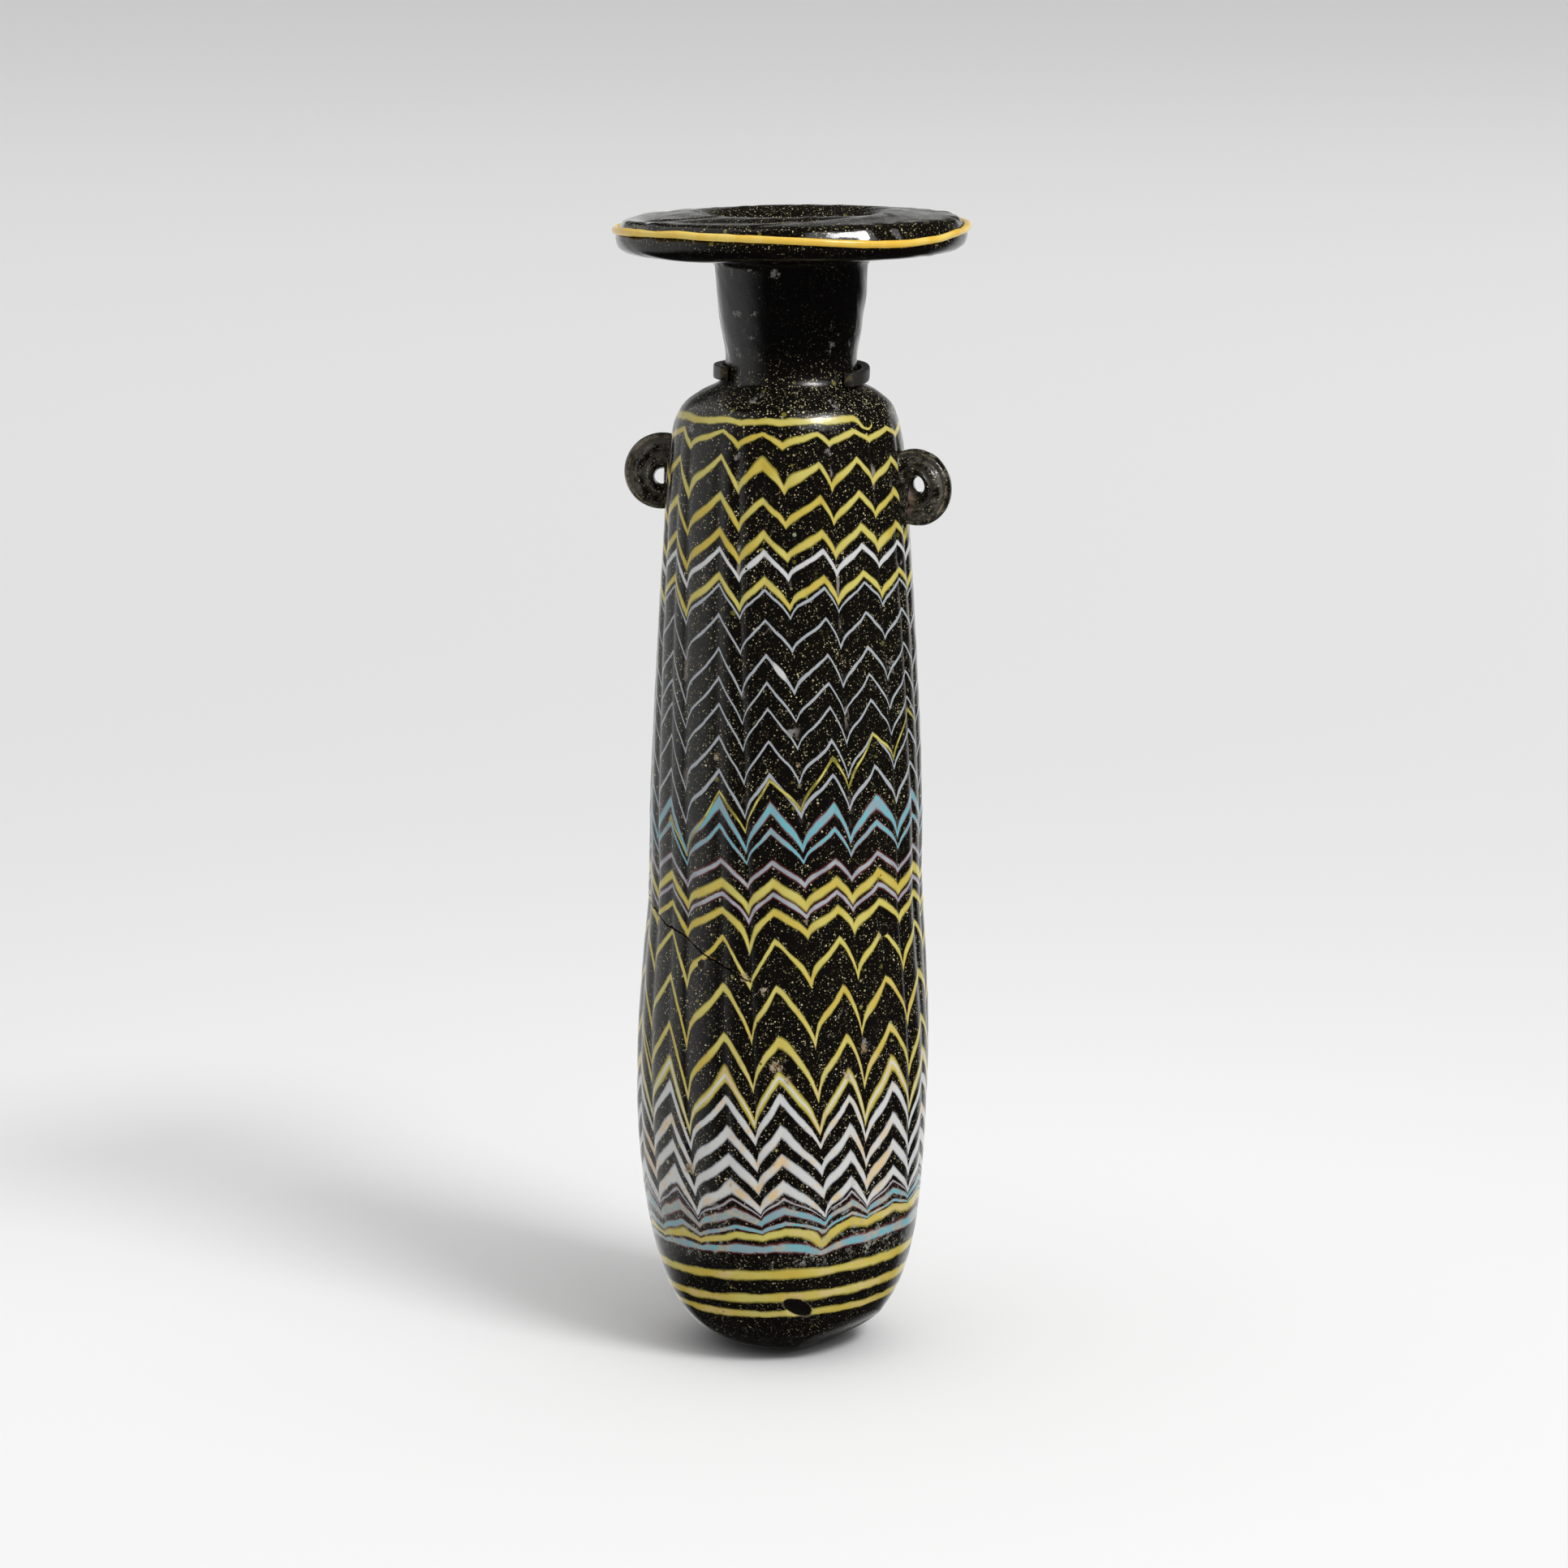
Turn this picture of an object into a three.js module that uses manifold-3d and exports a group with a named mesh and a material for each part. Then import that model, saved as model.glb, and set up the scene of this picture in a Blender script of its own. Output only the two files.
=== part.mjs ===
// A core-formed glass alabastron with combed threads, held upright by a small brass stand.
// Millimetres, +Z up, the flat spot under the bottle at the origin, the viewed side facing -Y.
import * as THREE from "three";
import { mergeVertices } from "three/addons/utils/BufferGeometryUtils.js";
import Module from "manifold-3d";

const wasm = await Module();
wasm.setup();

// Bottle: radius and height along the outside, from the flat spot to the top of the neck.
const REST_RADIUS = 5;
const BODY_OUTLINE = [
  [REST_RADIUS, 0],
  [9.5, 1.1],
  [13.2, 3.3],
  [16.2, 7],
  [18.6, 12.5],
  [20.4, 21],
  [21.6, 33],
  [21.8, 47],
  [21.2, 58],
  [20.3, 70],
  [20.2, 84],
  [19.3, 104],
  [18.3, 120],
  [17.2, 135],
  [15.7, 140.9],
  [13.1, 143.3],
  [10.4, 144.7],
  [9.7, 146.4],
  [9.6, 149],
  [10.3, 153],
  [10.9, 157.5],
  [11.2, 162],
];
// The disk rim, from the neck outwards and over the edge to the crest round the mouth.
const RIM_OUTLINE = [
  [11.2, 162],
  [12.8, 163.3],
  [17, 163.7],
  [23, 163.8],
  [25.3, 164.6],
  [26, 166],
  [26.1, 167],
  [25.3, 168.1],
  [23.4, 168.9],
  [18.5, 169.5],
  [14.5, 170],
];
// The hollow left by the core, from the floor inside up to the flared mouth.
const FLOOR_THICKNESS = 5.5;
const CAVITY_OUTLINE = [
  [0, FLOOR_THICKNESS],
  [8, 6.5],
  [13.5, 11],
  [16.8, 20],
  [18.2, 34],
  [18.4, 50],
  [17.2, 70],
  [17.1, 84],
  [16.2, 104],
  [15.1, 120],
  [13.9, 134],
  [12.6, 138.8],
  [9.4, 141.4],
  [7, 145],
  [6.7, 150],
  [7, 160],
  [7.5, 165],
  [8.6, 166.9],
  [10.3, 168.5],
  [12.5, 169.6],
  [14.7, 170.4],
];
const MOUTH_CLEARANCE = 3;

// The neck and rim stand off the axis of the body, and the rim is a little higher on the right.
const BELLY_LEAN = -0.35;
const BELLY_HEIGHT = 32;
const BELLY_SPREAD = 14;
const BODY_LEAN = 0.4;
const BODY_LEAN_SPAN = [45, 95];
const NECK_LEAN = 0.65;
const NECK_LEAN_SPAN = [139, 147];
const RIM_TILT = THREE.MathUtils.degToRad(0.6);
const RIM_TILT_SPAN = [150, 163];

// A flat on the lower right of the base: the plane's bearing, dip and distance from the origin.
const FLAT = { bearing: 48, dip: 54.5, distance: 3.6, share: 0.75 };

// Combing: furrows at half height, down strokes and up strokes in turn, that slant round the body.
// All angles go from the viewed side towards +X.
const STROKES = [
  -70.7, -57, -47, -28.7, -17, -6.2, 6.9, 20.6, 28, 41, 54.4, 67, 79, 93.5, 105, 119.5, 132, 145.5, 157, 172,
  184, 198.5, 211, 224.5, 236, 250.5, 263, 277,
];
const STROKE_HEIGHT = 80;
const STROKE_SLANT = 0.15;
const STROKE_FOOT = 22;
const STROKE_TOP = 141;
const FADE_BELOW = 12;
const FADE_ABOVE = 9;
const DOWN_FURROW = 0.3;
const UP_FURROW = 0.18;

// Ring handles.
const RING_RADIUS = 5.65;
const RING_OUTLINE = [
  [1.35, 0],
  [1.6, 1.1],
  [2.4, 2],
  [3.2, 2.1],
  [3.9, 1.6],
  [4.8, 1.65],
  [5.4, 1.1],
  [RING_RADIUS, 0],
];
const RIGHT_RING = { angle: 76, facing: 62, distance: 19.4, height: 130 };
const LEFT_RING = { angle: -103, facing: -82, distance: 18.8, height: 131.4 };
const PAD_SIZE = [2.6, 2.3, 4.6];
const PAD_INSET = 1.9;

// Burst bubble near the base.
const PIT = { angle: 6.5, distance: 17.6, height: 9.7, width: 3.6, tall: 2.5, depth: 1 };

// Stand: a flat-bar clip round the neck, a round rod behind the bottle and a foot plate.
const CLIP_INNER = 10.1;
const CLIP_THICKNESS = 1.25;
const CLIP_TALL = 2;
const CLIP_HEIGHT = 146.6;
const CLIP_LEFT_END = -62;
const CLIP_RIGHT_END = 45;
const ROD_RADIUS = 1.4;
const ROD_BEHIND = 25;
const FOOT_WIDTH = 30;
const FOOT_FRONT = 21;
const FOOT_BACK = 57;
const FOOT_THICKNESS = 3;
const FOOT_CORNER = 2.5;
const EDGE_BREAK = 0.25;
const BRAZE_GAP = 0.1;

// How finely the round forms are divided.
const BODY_ROWS = 31;
const RIM_ROWS = 15;
const CAVITY_ROWS = 24;
const CAVITY_COLUMNS = 36;
const RING_FACETS = 20;
const BAR_FACETS = 12;
const BALL_FACETS = [12, 8];

const rad = THREE.MathUtils.degToRad;
const smooth = THREE.MathUtils.smoothstep;

function leanAt(height) {
  const belly = BELLY_LEAN * Math.exp(-(((height - BELLY_HEIGHT) / BELLY_SPREAD) ** 2));
  const body = BODY_LEAN * smooth(height, ...BODY_LEAN_SPAN);
  return belly + body + NECK_LEAN * smooth(height, ...NECK_LEAN_SPAN);
}

// A point on the ground plan at an angle from the viewed side.
function around(angle, radius) {
  return [Math.sin(rad(angle)) * radius, -Math.cos(rad(angle)) * radius];
}

function curvePoints(outline, count) {
  const curve = new THREE.SplineCurve(outline.map(([r, z]) => new THREE.Vector2(r, z)));
  return curve.getPoints(count);
}

// A turned solid about +Z from a profile that starts and ends on the axis.
function turned(points, segments) {
  return new THREE.LatheGeometry(points, segments).rotateX(Math.PI / 2);
}

// Moves the columns of a turned solid onto the strokes, two to a stroke, and presses the furrows in.
function combed(geometry, rows) {
  const position = geometry.getAttribute("position");
  const closed = [...STROKES, STROKES[0] + 360];
  for (let i = 0; i < position.count; i += 1) {
    const column = Math.floor(i / rows) % (2 * STROKES.length);
    const stroke = Math.floor(column / 2);
    const onStroke = column % 2 === 0;
    const between = (closed[stroke] + closed[stroke + 1]) / 2;
    const z = position.getZ(i);
    const slant = STROKE_SLANT * (STROKE_HEIGHT - THREE.MathUtils.clamp(z, STROKE_FOOT, STROKE_TOP));
    const depth = stroke % 2 === 0 ? DOWN_FURROW : UP_FURROW;
    const low = smooth(z, STROKE_FOOT, STROKE_FOOT + FADE_BELOW);
    const reach = low * (1 - smooth(z, STROKE_TOP - FADE_ABOVE, STROKE_TOP));
    const radius = Math.hypot(position.getX(i), position.getY(i)) - (onStroke ? depth * reach : 0);
    const [x, y] = around((onStroke ? closed[stroke] : between) + slant, radius);
    position.setXY(i, x, y);
  }
  return geometry;
}

// Carries a turned solid onto the leaning axis and tips the rim.
function leaned(geometry) {
  const position = geometry.getAttribute("position");
  for (let i = 0; i < position.count; i += 1) {
    const x = position.getX(i);
    const z = position.getZ(i);
    position.setX(i, x + leanAt(z));
    position.setZ(i, z + x * Math.tan(RIM_TILT) * smooth(z, ...RIM_TILT_SPAN));
  }
  return geometry;
}

// The base was set down hot: what lies beyond the flat's plane moves most of the way back to it.
function pressed(geometry) {
  const position = geometry.getAttribute("position");
  const [x, y] = around(FLAT.bearing, Math.cos(rad(FLAT.dip)));
  const outward = new THREE.Vector3(x, y, -Math.sin(rad(FLAT.dip)));
  const point = new THREE.Vector3();
  for (let i = 0; i < position.count; i += 1) {
    point.fromBufferAttribute(position, i);
    const beyond = Math.max(point.dot(outward) - FLAT.distance, 0);
    point.addScaledVector(outward, -beyond * FLAT.share);
    position.setXYZ(i, point.x, point.y, point.z);
  }
  return geometry;
}

function toSolid(geometry) {
  const bare = geometry.clone();
  bare.deleteAttribute("normal");
  bare.deleteAttribute("uv");
  const merged = mergeVertices(bare, 1e-4);
  const index = merged.index.array;
  const kept = [];
  for (let i = 0; i < index.length; i += 3) {
    const [a, b, c] = [index[i], index[i + 1], index[i + 2]];
    if (a !== b && b !== c && a !== c) kept.push(a, b, c);
  }
  const vertProperties = merged.getAttribute("position").array;
  const triVerts = new Uint32Array(kept);
  return new wasm.Manifold(new wasm.Mesh({ numProp: 3, vertProperties, triVerts }));
}

function toGeometry(solid) {
  const mesh = solid.getMesh();
  const geometry = new THREE.BufferGeometry();
  geometry.setAttribute("position", new THREE.BufferAttribute(mesh.vertProperties, 3));
  geometry.setIndex(new THREE.BufferAttribute(mesh.triVerts, 1));
  geometry.computeVertexNormals();
  return geometry;
}

// The outside of the vessel as one full form, closed over the mouth.
function vesselOutside() {
  const body = curvePoints(BODY_OUTLINE, BODY_ROWS);
  const rim = curvePoints(RIM_OUTLINE, RIM_ROWS).slice(1);
  const crest = rim[rim.length - 1].y;
  const points = [new THREE.Vector2(0, 0), ...body, ...rim, new THREE.Vector2(0, crest)];
  return pressed(leaned(combed(turned(points, 2 * STROKES.length), points.length)));
}

function vesselInside() {
  const wall = curvePoints(CAVITY_OUTLINE, CAVITY_ROWS);
  const top = wall[wall.length - 1].y + MOUTH_CLEARANCE;
  const above = wall[wall.length - 1].x + MOUTH_CLEARANCE;
  const points = [...wall, new THREE.Vector2(above, top), new THREE.Vector2(0, top)];
  return leaned(turned(points, CAVITY_COLUMNS));
}

// One ring handle: a coil of glass with a small hole, and the pad that fuses it to the wall.
function ringHandle(ring) {
  const half = RING_OUTLINE.map(([r, w]) => new THREE.Vector2(r, w));
  const other = half.slice(1, -1).map((p) => new THREE.Vector2(p.x, -p.y)).reverse();
  const loop = [...half, ...other, half[0].clone()].reverse();
  const [x, y] = around(ring.angle, ring.distance);
  const place = new THREE.Matrix4().makeRotationZ(rad(ring.facing - 90));
  place.setPosition(x + leanAt(ring.height), y, ring.height);
  const coil = new THREE.LatheGeometry(loop, RING_FACETS).applyMatrix4(place);
  const pad = new THREE.SphereGeometry(1, ...BALL_FACETS).scale(...PAD_SIZE);
  const [padX, padY] = around(ring.angle, ring.distance - PAD_INSET);
  const padPlace = new THREE.Matrix4().makeRotationZ(rad(ring.angle - 90));
  padPlace.setPosition(padX + leanAt(ring.height), padY, ring.height);
  return toSolid(coil).add(toSolid(pad.applyMatrix4(padPlace)));
}

function burstBubble() {
  const [x, y] = around(PIT.angle, PIT.distance);
  const place = new THREE.Matrix4().makeRotationZ(rad(PIT.angle));
  place.setPosition(x, y, PIT.height);
  const hollow = new THREE.SphereGeometry(1, ...BALL_FACETS).scale(PIT.width / 2, PIT.depth, PIT.tall / 2);
  return toSolid(hollow.applyMatrix4(place));
}

function bottle() {
  let solid = toSolid(vesselOutside());
  solid = solid.add(ringHandle(LEFT_RING)).add(ringHandle(RIGHT_RING));
  solid = solid.subtract(toSolid(vesselInside())).subtract(burstBubble());
  return toGeometry(solid);
}

function neckClip() {
  const from = rad(CLIP_RIGHT_END - 90);
  const to = rad(CLIP_LEFT_END + 270);
  const inner = CLIP_INNER + EDGE_BREAK;
  const outer = CLIP_INNER + CLIP_THICKNESS - EDGE_BREAK;
  const plan = new THREE.Shape();
  plan.absarc(0, 0, outer, from, to, false);
  plan.absarc(0, 0, inner, to, from, true);
  const bar = new THREE.ExtrudeGeometry(plan, {
    depth: CLIP_TALL - 2 * EDGE_BREAK,
    curveSegments: 20,
    bevelSize: EDGE_BREAK,
    bevelThickness: EDGE_BREAK,
    bevelSegments: 1,
  });
  return bar.translate(leanAt(CLIP_HEIGHT), 0, CLIP_HEIGHT - CLIP_TALL / 2 + EDGE_BREAK);
}

// The rod stands on the foot and turns forward at the top to meet the back of the clip.
function standRod() {
  const x = leanAt(CLIP_HEIGHT);
  const rise = CLIP_HEIGHT - FOOT_THICKNESS;
  const reach = ROD_BEHIND - CLIP_INNER - CLIP_THICKNESS - BRAZE_GAP;
  const upright = new THREE.CylinderGeometry(ROD_RADIUS, ROD_RADIUS, rise, BAR_FACETS).rotateX(Math.PI / 2);
  upright.translate(x, ROD_BEHIND, FOOT_THICKNESS + rise / 2);
  const arm = new THREE.CylinderGeometry(ROD_RADIUS, ROD_RADIUS, reach, BAR_FACETS);
  arm.translate(x, ROD_BEHIND - reach / 2, CLIP_HEIGHT);
  const elbow = new THREE.SphereGeometry(ROD_RADIUS, ...BALL_FACETS).translate(x, ROD_BEHIND, CLIP_HEIGHT);
  return toGeometry(toSolid(upright).add(toSolid(elbow)).add(toSolid(arm)));
}

function standFoot() {
  const halfWidth = FOOT_WIDTH / 2 - EDGE_BREAK;
  const front = FOOT_FRONT + EDGE_BREAK;
  const back = FOOT_BACK - EDGE_BREAK;
  const c = FOOT_CORNER;
  const plan = new THREE.Shape();
  plan.absarc(halfWidth - c, front + c, c, rad(-90), 0, false);
  plan.absarc(halfWidth - c, back - c, c, 0, rad(90), false);
  plan.absarc(-halfWidth + c, back - c, c, rad(90), rad(180), false);
  plan.absarc(-halfWidth + c, front + c, c, rad(180), rad(270), false);
  const plate = new THREE.ExtrudeGeometry(plan, {
    depth: FOOT_THICKNESS - 2 * EDGE_BREAK,
    curveSegments: 5,
    bevelSize: EDGE_BREAK,
    bevelThickness: EDGE_BREAK,
    bevelSegments: 1,
  });
  return plate.translate(0, 0, EDGE_BREAK);
}

function piece(name, geometry, color, roughness, metalness) {
  const material = new THREE.MeshStandardMaterial({ color, roughness, metalness });
  const mesh = new THREE.Mesh(geometry, material);
  mesh.name = name;
  return mesh;
}

const alabastron = new THREE.Group();
alabastron.name = "alabastron";
alabastron.add(piece("bottle", bottle(), 0x17140f, 0.25, 0));
alabastron.add(piece("neck_clip", neckClip(), 0x1a1815, 0.5, 0.6));
alabastron.add(piece("stand_rod", standRod(), 0x1a1815, 0.5, 0.6));
alabastron.add(piece("stand_foot", standFoot(), 0x1a1815, 0.5, 0.6));

export default alabastron;
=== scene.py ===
"""Looks of a core-formed glass alabastron with combed threads, held by a small blackened stand.

Sizes are millimetres in the shapes below and become metres where a mesh is made.
Angles are degrees round the bottle from the viewed side, -Y, towards +X.
"""

import math

import bpy
import numpy as np
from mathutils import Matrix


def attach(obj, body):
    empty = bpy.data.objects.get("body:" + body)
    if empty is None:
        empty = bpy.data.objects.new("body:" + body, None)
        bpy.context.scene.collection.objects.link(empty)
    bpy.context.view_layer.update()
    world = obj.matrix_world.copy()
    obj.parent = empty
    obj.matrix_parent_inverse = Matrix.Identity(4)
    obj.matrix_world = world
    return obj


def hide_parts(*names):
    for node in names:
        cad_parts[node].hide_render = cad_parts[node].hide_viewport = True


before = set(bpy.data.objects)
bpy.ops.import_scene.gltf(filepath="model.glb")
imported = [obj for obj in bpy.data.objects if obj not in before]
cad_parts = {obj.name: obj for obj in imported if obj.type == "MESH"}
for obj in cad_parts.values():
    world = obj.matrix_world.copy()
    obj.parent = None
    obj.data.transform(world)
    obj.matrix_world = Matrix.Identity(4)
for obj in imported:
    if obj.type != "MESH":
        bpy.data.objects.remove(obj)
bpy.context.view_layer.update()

MM = 0.001

# Outline of the glass: radius and height, outside from the flat spot up to the neck.
REST_RADIUS = 5.0
BODY_OUTLINE = [
    (REST_RADIUS, 0), (9.5, 1.1), (13.2, 3.3), (16.2, 7), (18.6, 12.5), (20.4, 21), (21.6, 33), (21.8, 47),
    (21.2, 58), (20.3, 70), (20.2, 84), (19.3, 104), (18.3, 120), (17.2, 135), (15.7, 140.9), (13.2, 143.4),
    (10.8, 144.7), (9.95, 145.8), (9.65, 147.3), (9.65, 149.5), (10.3, 153), (10.9, 157.5), (11.2, 162),
]
# The disk rim, over its edge and down into the mouth.
RIM_OUTLINE = [
    (11.2, 162), (12.8, 163.3), (17, 163.7), (22.9, 163.8), (25.0, 164.6), (25.6, 165.8), (25.65, 166.5),
    (25.25, 167.3), (24.8, 168.15), (24.4, 168.8), (23.5, 169.12), (21.5, 169.25), (18.5, 169.45), (15.8, 169.75),
    (14.3, 169.8), (12.5, 169.4), (10.3, 168.4), (8.6, 166.8), (7.5, 164.8),
]
# The hollow that the core left, from the neck down to the floor inside.
HOLLOW_OUTLINE = [
    (7.5, 164.8), (7, 160), (6.7, 150), (7, 145), (9.4, 141.4), (12.6, 138.8), (13.9, 134), (15.1, 120),
    (16.2, 104), (17.1, 84), (17.2, 70), (18.4, 50), (18.2, 34), (16.8, 20), (13.5, 11), (8, 6.5), (0, 5.5),
]
BODY_STEP = 0.62
RIM_STEP = 0.55
HOLLOW_STEP = 6.0

# The neck stands off the axis of the body, and the rim is a little higher on the right.
BELLY_LEAN = -0.35
BELLY_HEIGHT = 32
BELLY_SPREAD = 14
BODY_LEAN = 0.4
BODY_LEAN_SPAN = (45, 95)
NECK_LEAN = 0.65
NECK_LEAN_SPAN = (139, 147)
RIM_TILT = math.tan(math.radians(0.6))
RIM_TILT_SPAN = (150, 163)

# Combing. Down strokes and up strokes in turn, each at three heights: the strokes slant round the body.
STROKE_HEIGHTS = (30, 80, 135)
FRONT_STROKES = [
    (-62.5, -70.7, -79), (-47.5, -57, -64.4), (-38, -47, -55.4), (-20.6, -28.7, -33.7), (-9.4, -17, -24.4),
    (0.6, -6.2, -11.9), (16.5, 6.9, -1.9), (28.7, 20.6, 15.6), (36, 28, 21.6), (50.6, 41, 36),
    (62.5, 54.4, 45.6), (75, 67, 61.5), (88, 79, 71),
]
BACK_STROKES = [93.5, 105, 119.5, 132, 145.5, 157, 172, 184, 198.5, 211, 224.5, 236, 250.5, 263, 277]
BACK_SLANT = (8, 0, -8)
STROKE_COLUMNS = 9
# How far each stroke drags the threads, as a share of the usual pull, at the same heights.
FRONT_PULL = [
    (1.0, 1.25, 1.4), (1.3, 0.9, 1.0), (1.25, 1.55, 2.1), (0.95, 1.1, 1.5), (0.75, 1.15, 1.25), (1.0, 1.0, 1.0),
    (1.15, 1.08, 1.25), (0.9, 0.9, 0.85), (0.95, 0.9, 1.2), (1.04, 1.04, 1.0), (0.95, 0.95, 1.0), (0.9, 0.85, 0.7),
    (1.0, 1.0, 1.0),
]
BACK_PULL = [0.95, 1.1, 0.9, 1.0, 1.05, 1.15, 0.95, 1.0, 1.0, 1.1, 0.9, 1.0, 1.05, 1.1, 0.95]
# Height of a full zigzag from trough to peak, by the height that the thread was wound at.
PULL_HEIGHTS = [17, 19.3, 21.5, 24, 27.5, 31, 35, 39, 43, 47, 55, 62.5, 68.5, 72.5, 76, 80, 83, 87, 97, 104, 110,
                116, 124, 133, 138.5, 140, 141]
PULLS = [0, 0.3, 1.1, 2.0, 4.8, 5.2, 6.2, 7.2, 8.4, 8.2, 7.6, 6.2, 3.2, 3.5, 3.3, 4.8, 6.3, 5.7, 5.6, 5.4, 4.3, 3.5,
         3.3, 3.6, 1.4, 0.3, 0.2]
# How much a wound thread rises towards the right front, by the same height.
RISE_HEIGHTS = [8.5, 11.2, 15, 19.2, 21, 24, 27.5, 40, 80, 116, 124, 128, 133, 139]
RISES = [0.85, 1.4, 1.35, 1.2, 2.7, 1.5, 0.4, 0.3, 0.5, 0.9, 1.2, 0.9, 0.2, 0.2]
RISE_FROM = 20
POWER_HEIGHTS = [35, 48, 62, 75]
CLIMB_POWERS = [0.74, 0.64, 0.66, 0.74]
FALL_POWERS = [1.22, 1.6, 1.5, 1.22]
CUSP_PER_DEGREE = 0.026
CUSP_FROM = 4
UNEVEN_PULL = 0.13
# Places where threads sag further: angle, height, reach in degrees and in height, depth.
SAGS = [(-14, 63.5, 5, 5, 2.2), (16.5, 20.4, 5, 3, 1.6)]
DOWN_FURROW = 0.38
UP_FURROW = 0.22
FURROW_FOOT = 22
FURROW_TOP = 141

# The threads, each as the height it was wound at and half its width.
YELLOW_THREADS = [
    (140.7, 0.42), (138.3, 0.38), (133.2, 0.52), (127.8, 0.54), (122.8, 0.57), (116.3, 0.52), (72.5, 0.64),
    (68.3, 0.56), (62.7, 0.54), (54.9, 0.6), (47.3, 0.62), (41.8, 0.82), (21.0, 0.46), (15.0, 0.66), (11.2, 0.62),
    (8.5, 0.5),
]
# A white thread laid inside a yellow one.
CORE_THREADS = [(41.85, 0.28)]
WHITE_THREADS = [(120.2, 0.4), (38.7, 0.64), (34.4, 0.75), (30.7, 0.8), (27.0, 0.74)]
HAIR_THREADS = [
    (114.9, 0.27), (110.2, 0.29), (104.8, 0.32), (100.6, 0.28), (96.8, 0.28), (92.0, 0.3), (87.1, 0.38),
]
TURQUOISE_THREADS = [(82.4, 0.72), (79.7, 0.38), (24.0, 0.62), (22.15, 0.32), (19.2, 0.54)]
LAVENDER_THREADS = [(75.5, 0.38), (70.9, 0.33), (25.5, 0.18)]
# One yellow thread that climbs across the others on the viewed side.
STRAY_MIDDLE = 87.2
STRAY_CLIMB = 0.118
STRAY_SPAN = (-60, 74)

# Places where a thread is thick: angle, height, spread in degrees and in height, share added.
SWELLS = [(-11.5, 135.4, 5, 1.5, 1.9), (-5.5, 134, 3, 1.2, 0.8), (-3, 105.2, 3, 2.2, 1.3), (4, 132.8, 6, 1, 0.6),
          (-24, 46.6, 4, 1.4, 0.6), (40, 55, 5, 2, 0.4)]
# Crack across the left front: angle and height along it.
CRACK = [(-100, 70.4), (-70, 67.6), (-58, 66.3), (-48.7, 65.7), (-42, 64.7), (-35, 63.3), (-28, 62.3), (-17, 60.4),
         (-4, 58.4)]
# Flaked and crusted spots, and dull spots of weathering: angle, height, reach.
FLAKES = [(-16, 60.3, 1.2), (-8, 58.6, 0.9), (-3, 47.4, 1.5), (2, 45.2, 1.1), (25.5, 45.7, 1.2), (33, 49.2, 1.3),
          (43, 65.6, 1.2), (-39, 30.8, 1.5), (-21, 29.4, 0.8), (-36, 61.6, 0.8), (5, 91.5, 0.8), (-31, 92.4, 1.1),
          (8, 68.6, 0.8)]
FILMS = [(-49, 143.2, 1.5), (-22, 143.5, 1.2), (27, 142.9, 1.4), (-12, 161.4, 1.5), (36, 152, 2.0), (-2, 157.4, 1.3),
         (-48, 161.6, 1.6), (-30, 162, 1.0), (-50, 155.6, 1.8), (-28, 155.6, 0.9), (-37, 151.8, 1.1), (66, 152, 1.8),
         (-51, 149.8, 1.0),
         (-58, 139.5, 1.8), (20, 136.5, 1.2), (2, 96, 1.2), (52, 104, 2.0), (23, 54.5, 1.5), (33, 49.6, 1.4),
         (38, 102.5, 1.4), (65, 120, 1.8), (-24, 136, 1.2), (140, 150, 2.0), (200, 142, 1.8), (170, 110, 2.0),
         (230, 70, 2.2), (120, 60, 1.8)]
# Burst bubbles: angle, height, half width, half height, depth, and fall to the right for each degree.
PITS = [(6.7, 9.8, 2.05, 1.25, 0.6, 0.12), (-35.7, 61.7, 0.65, 0.65, 0.4, 0), (45.5, 66.1, 0.75, 0.75, 0.5, 0),
        (-10, 111.3, 0.55, 0.55, 0.3, 0), (150, 48, 1.1, 0.9, 0.5, 0.05), (215, 95, 0.9, 0.9, 0.4, 0)]
# A flat on the lower right of the base: the plane's bearing, dip and distance from the origin.
FLAT_BEARING = 48
FLAT_DIP = 54.5
FLAT_REACH = 3.6
FLAT_SHARE = 0.75

# The raised thread laid round the edge of the rim.
TRAIL_RADIUS = 25.58
TRAIL_HALF_OUT = 0.46
TRAIL_HALF_UP = 0.53
TRAIL_PLACES = [(-180, 167.3), (-140, 167.5), (-90, 167.3), (-60, 167.7), (-31, 167.75), (0, 167.2), (33, 166.3),
                (53, 166.55), (90, 167.5), (130, 167.6), (180, 167.3)]

# Ring handles.
RING_RADIUS = 5.65
RING_OUTLINE = [(1.1, 0), (1.3, 0.9), (1.6, 1.6), (2.1, 2.15), (2.6, 1.95), (2.95, 1.3), (3.4, 1.75), (3.95, 1.6),
                (4.4, 1.0), (4.75, 0.68), (5.1, 0.98), (5.45, 0.72), (RING_RADIUS, 0)]
RING_GROOVES = (2.95, 4.75)
RING_GROOVE_WIDTH = 0.35
RING_EDGE = 5.15
RING_EDGE_WIDTH = 0.2
RIGHT_RING = {"angle": 76, "facing": 62, "distance": 19.4, "height": 130,
              "hole_up": 0.5, "hole_out": 0.6, "scoop": 1.1}
LEFT_RING = {"angle": -103, "facing": -82, "distance": 18.8, "height": 131.4,
             "hole_up": -0.8, "hole_out": 0, "scoop": 0}
RING_FOOT = 15.4
PAD_HALF_WIDE = 3.1
PAD_HALF_TALL = 5.2
PAD_HALF_THICK = 1.3
PAD_SUNK = 0.35
# The scoop worn beside the right hole: place in the ring's plane, and reach.
SCOOP = (-1.6, -1.9, 2.0)

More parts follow.
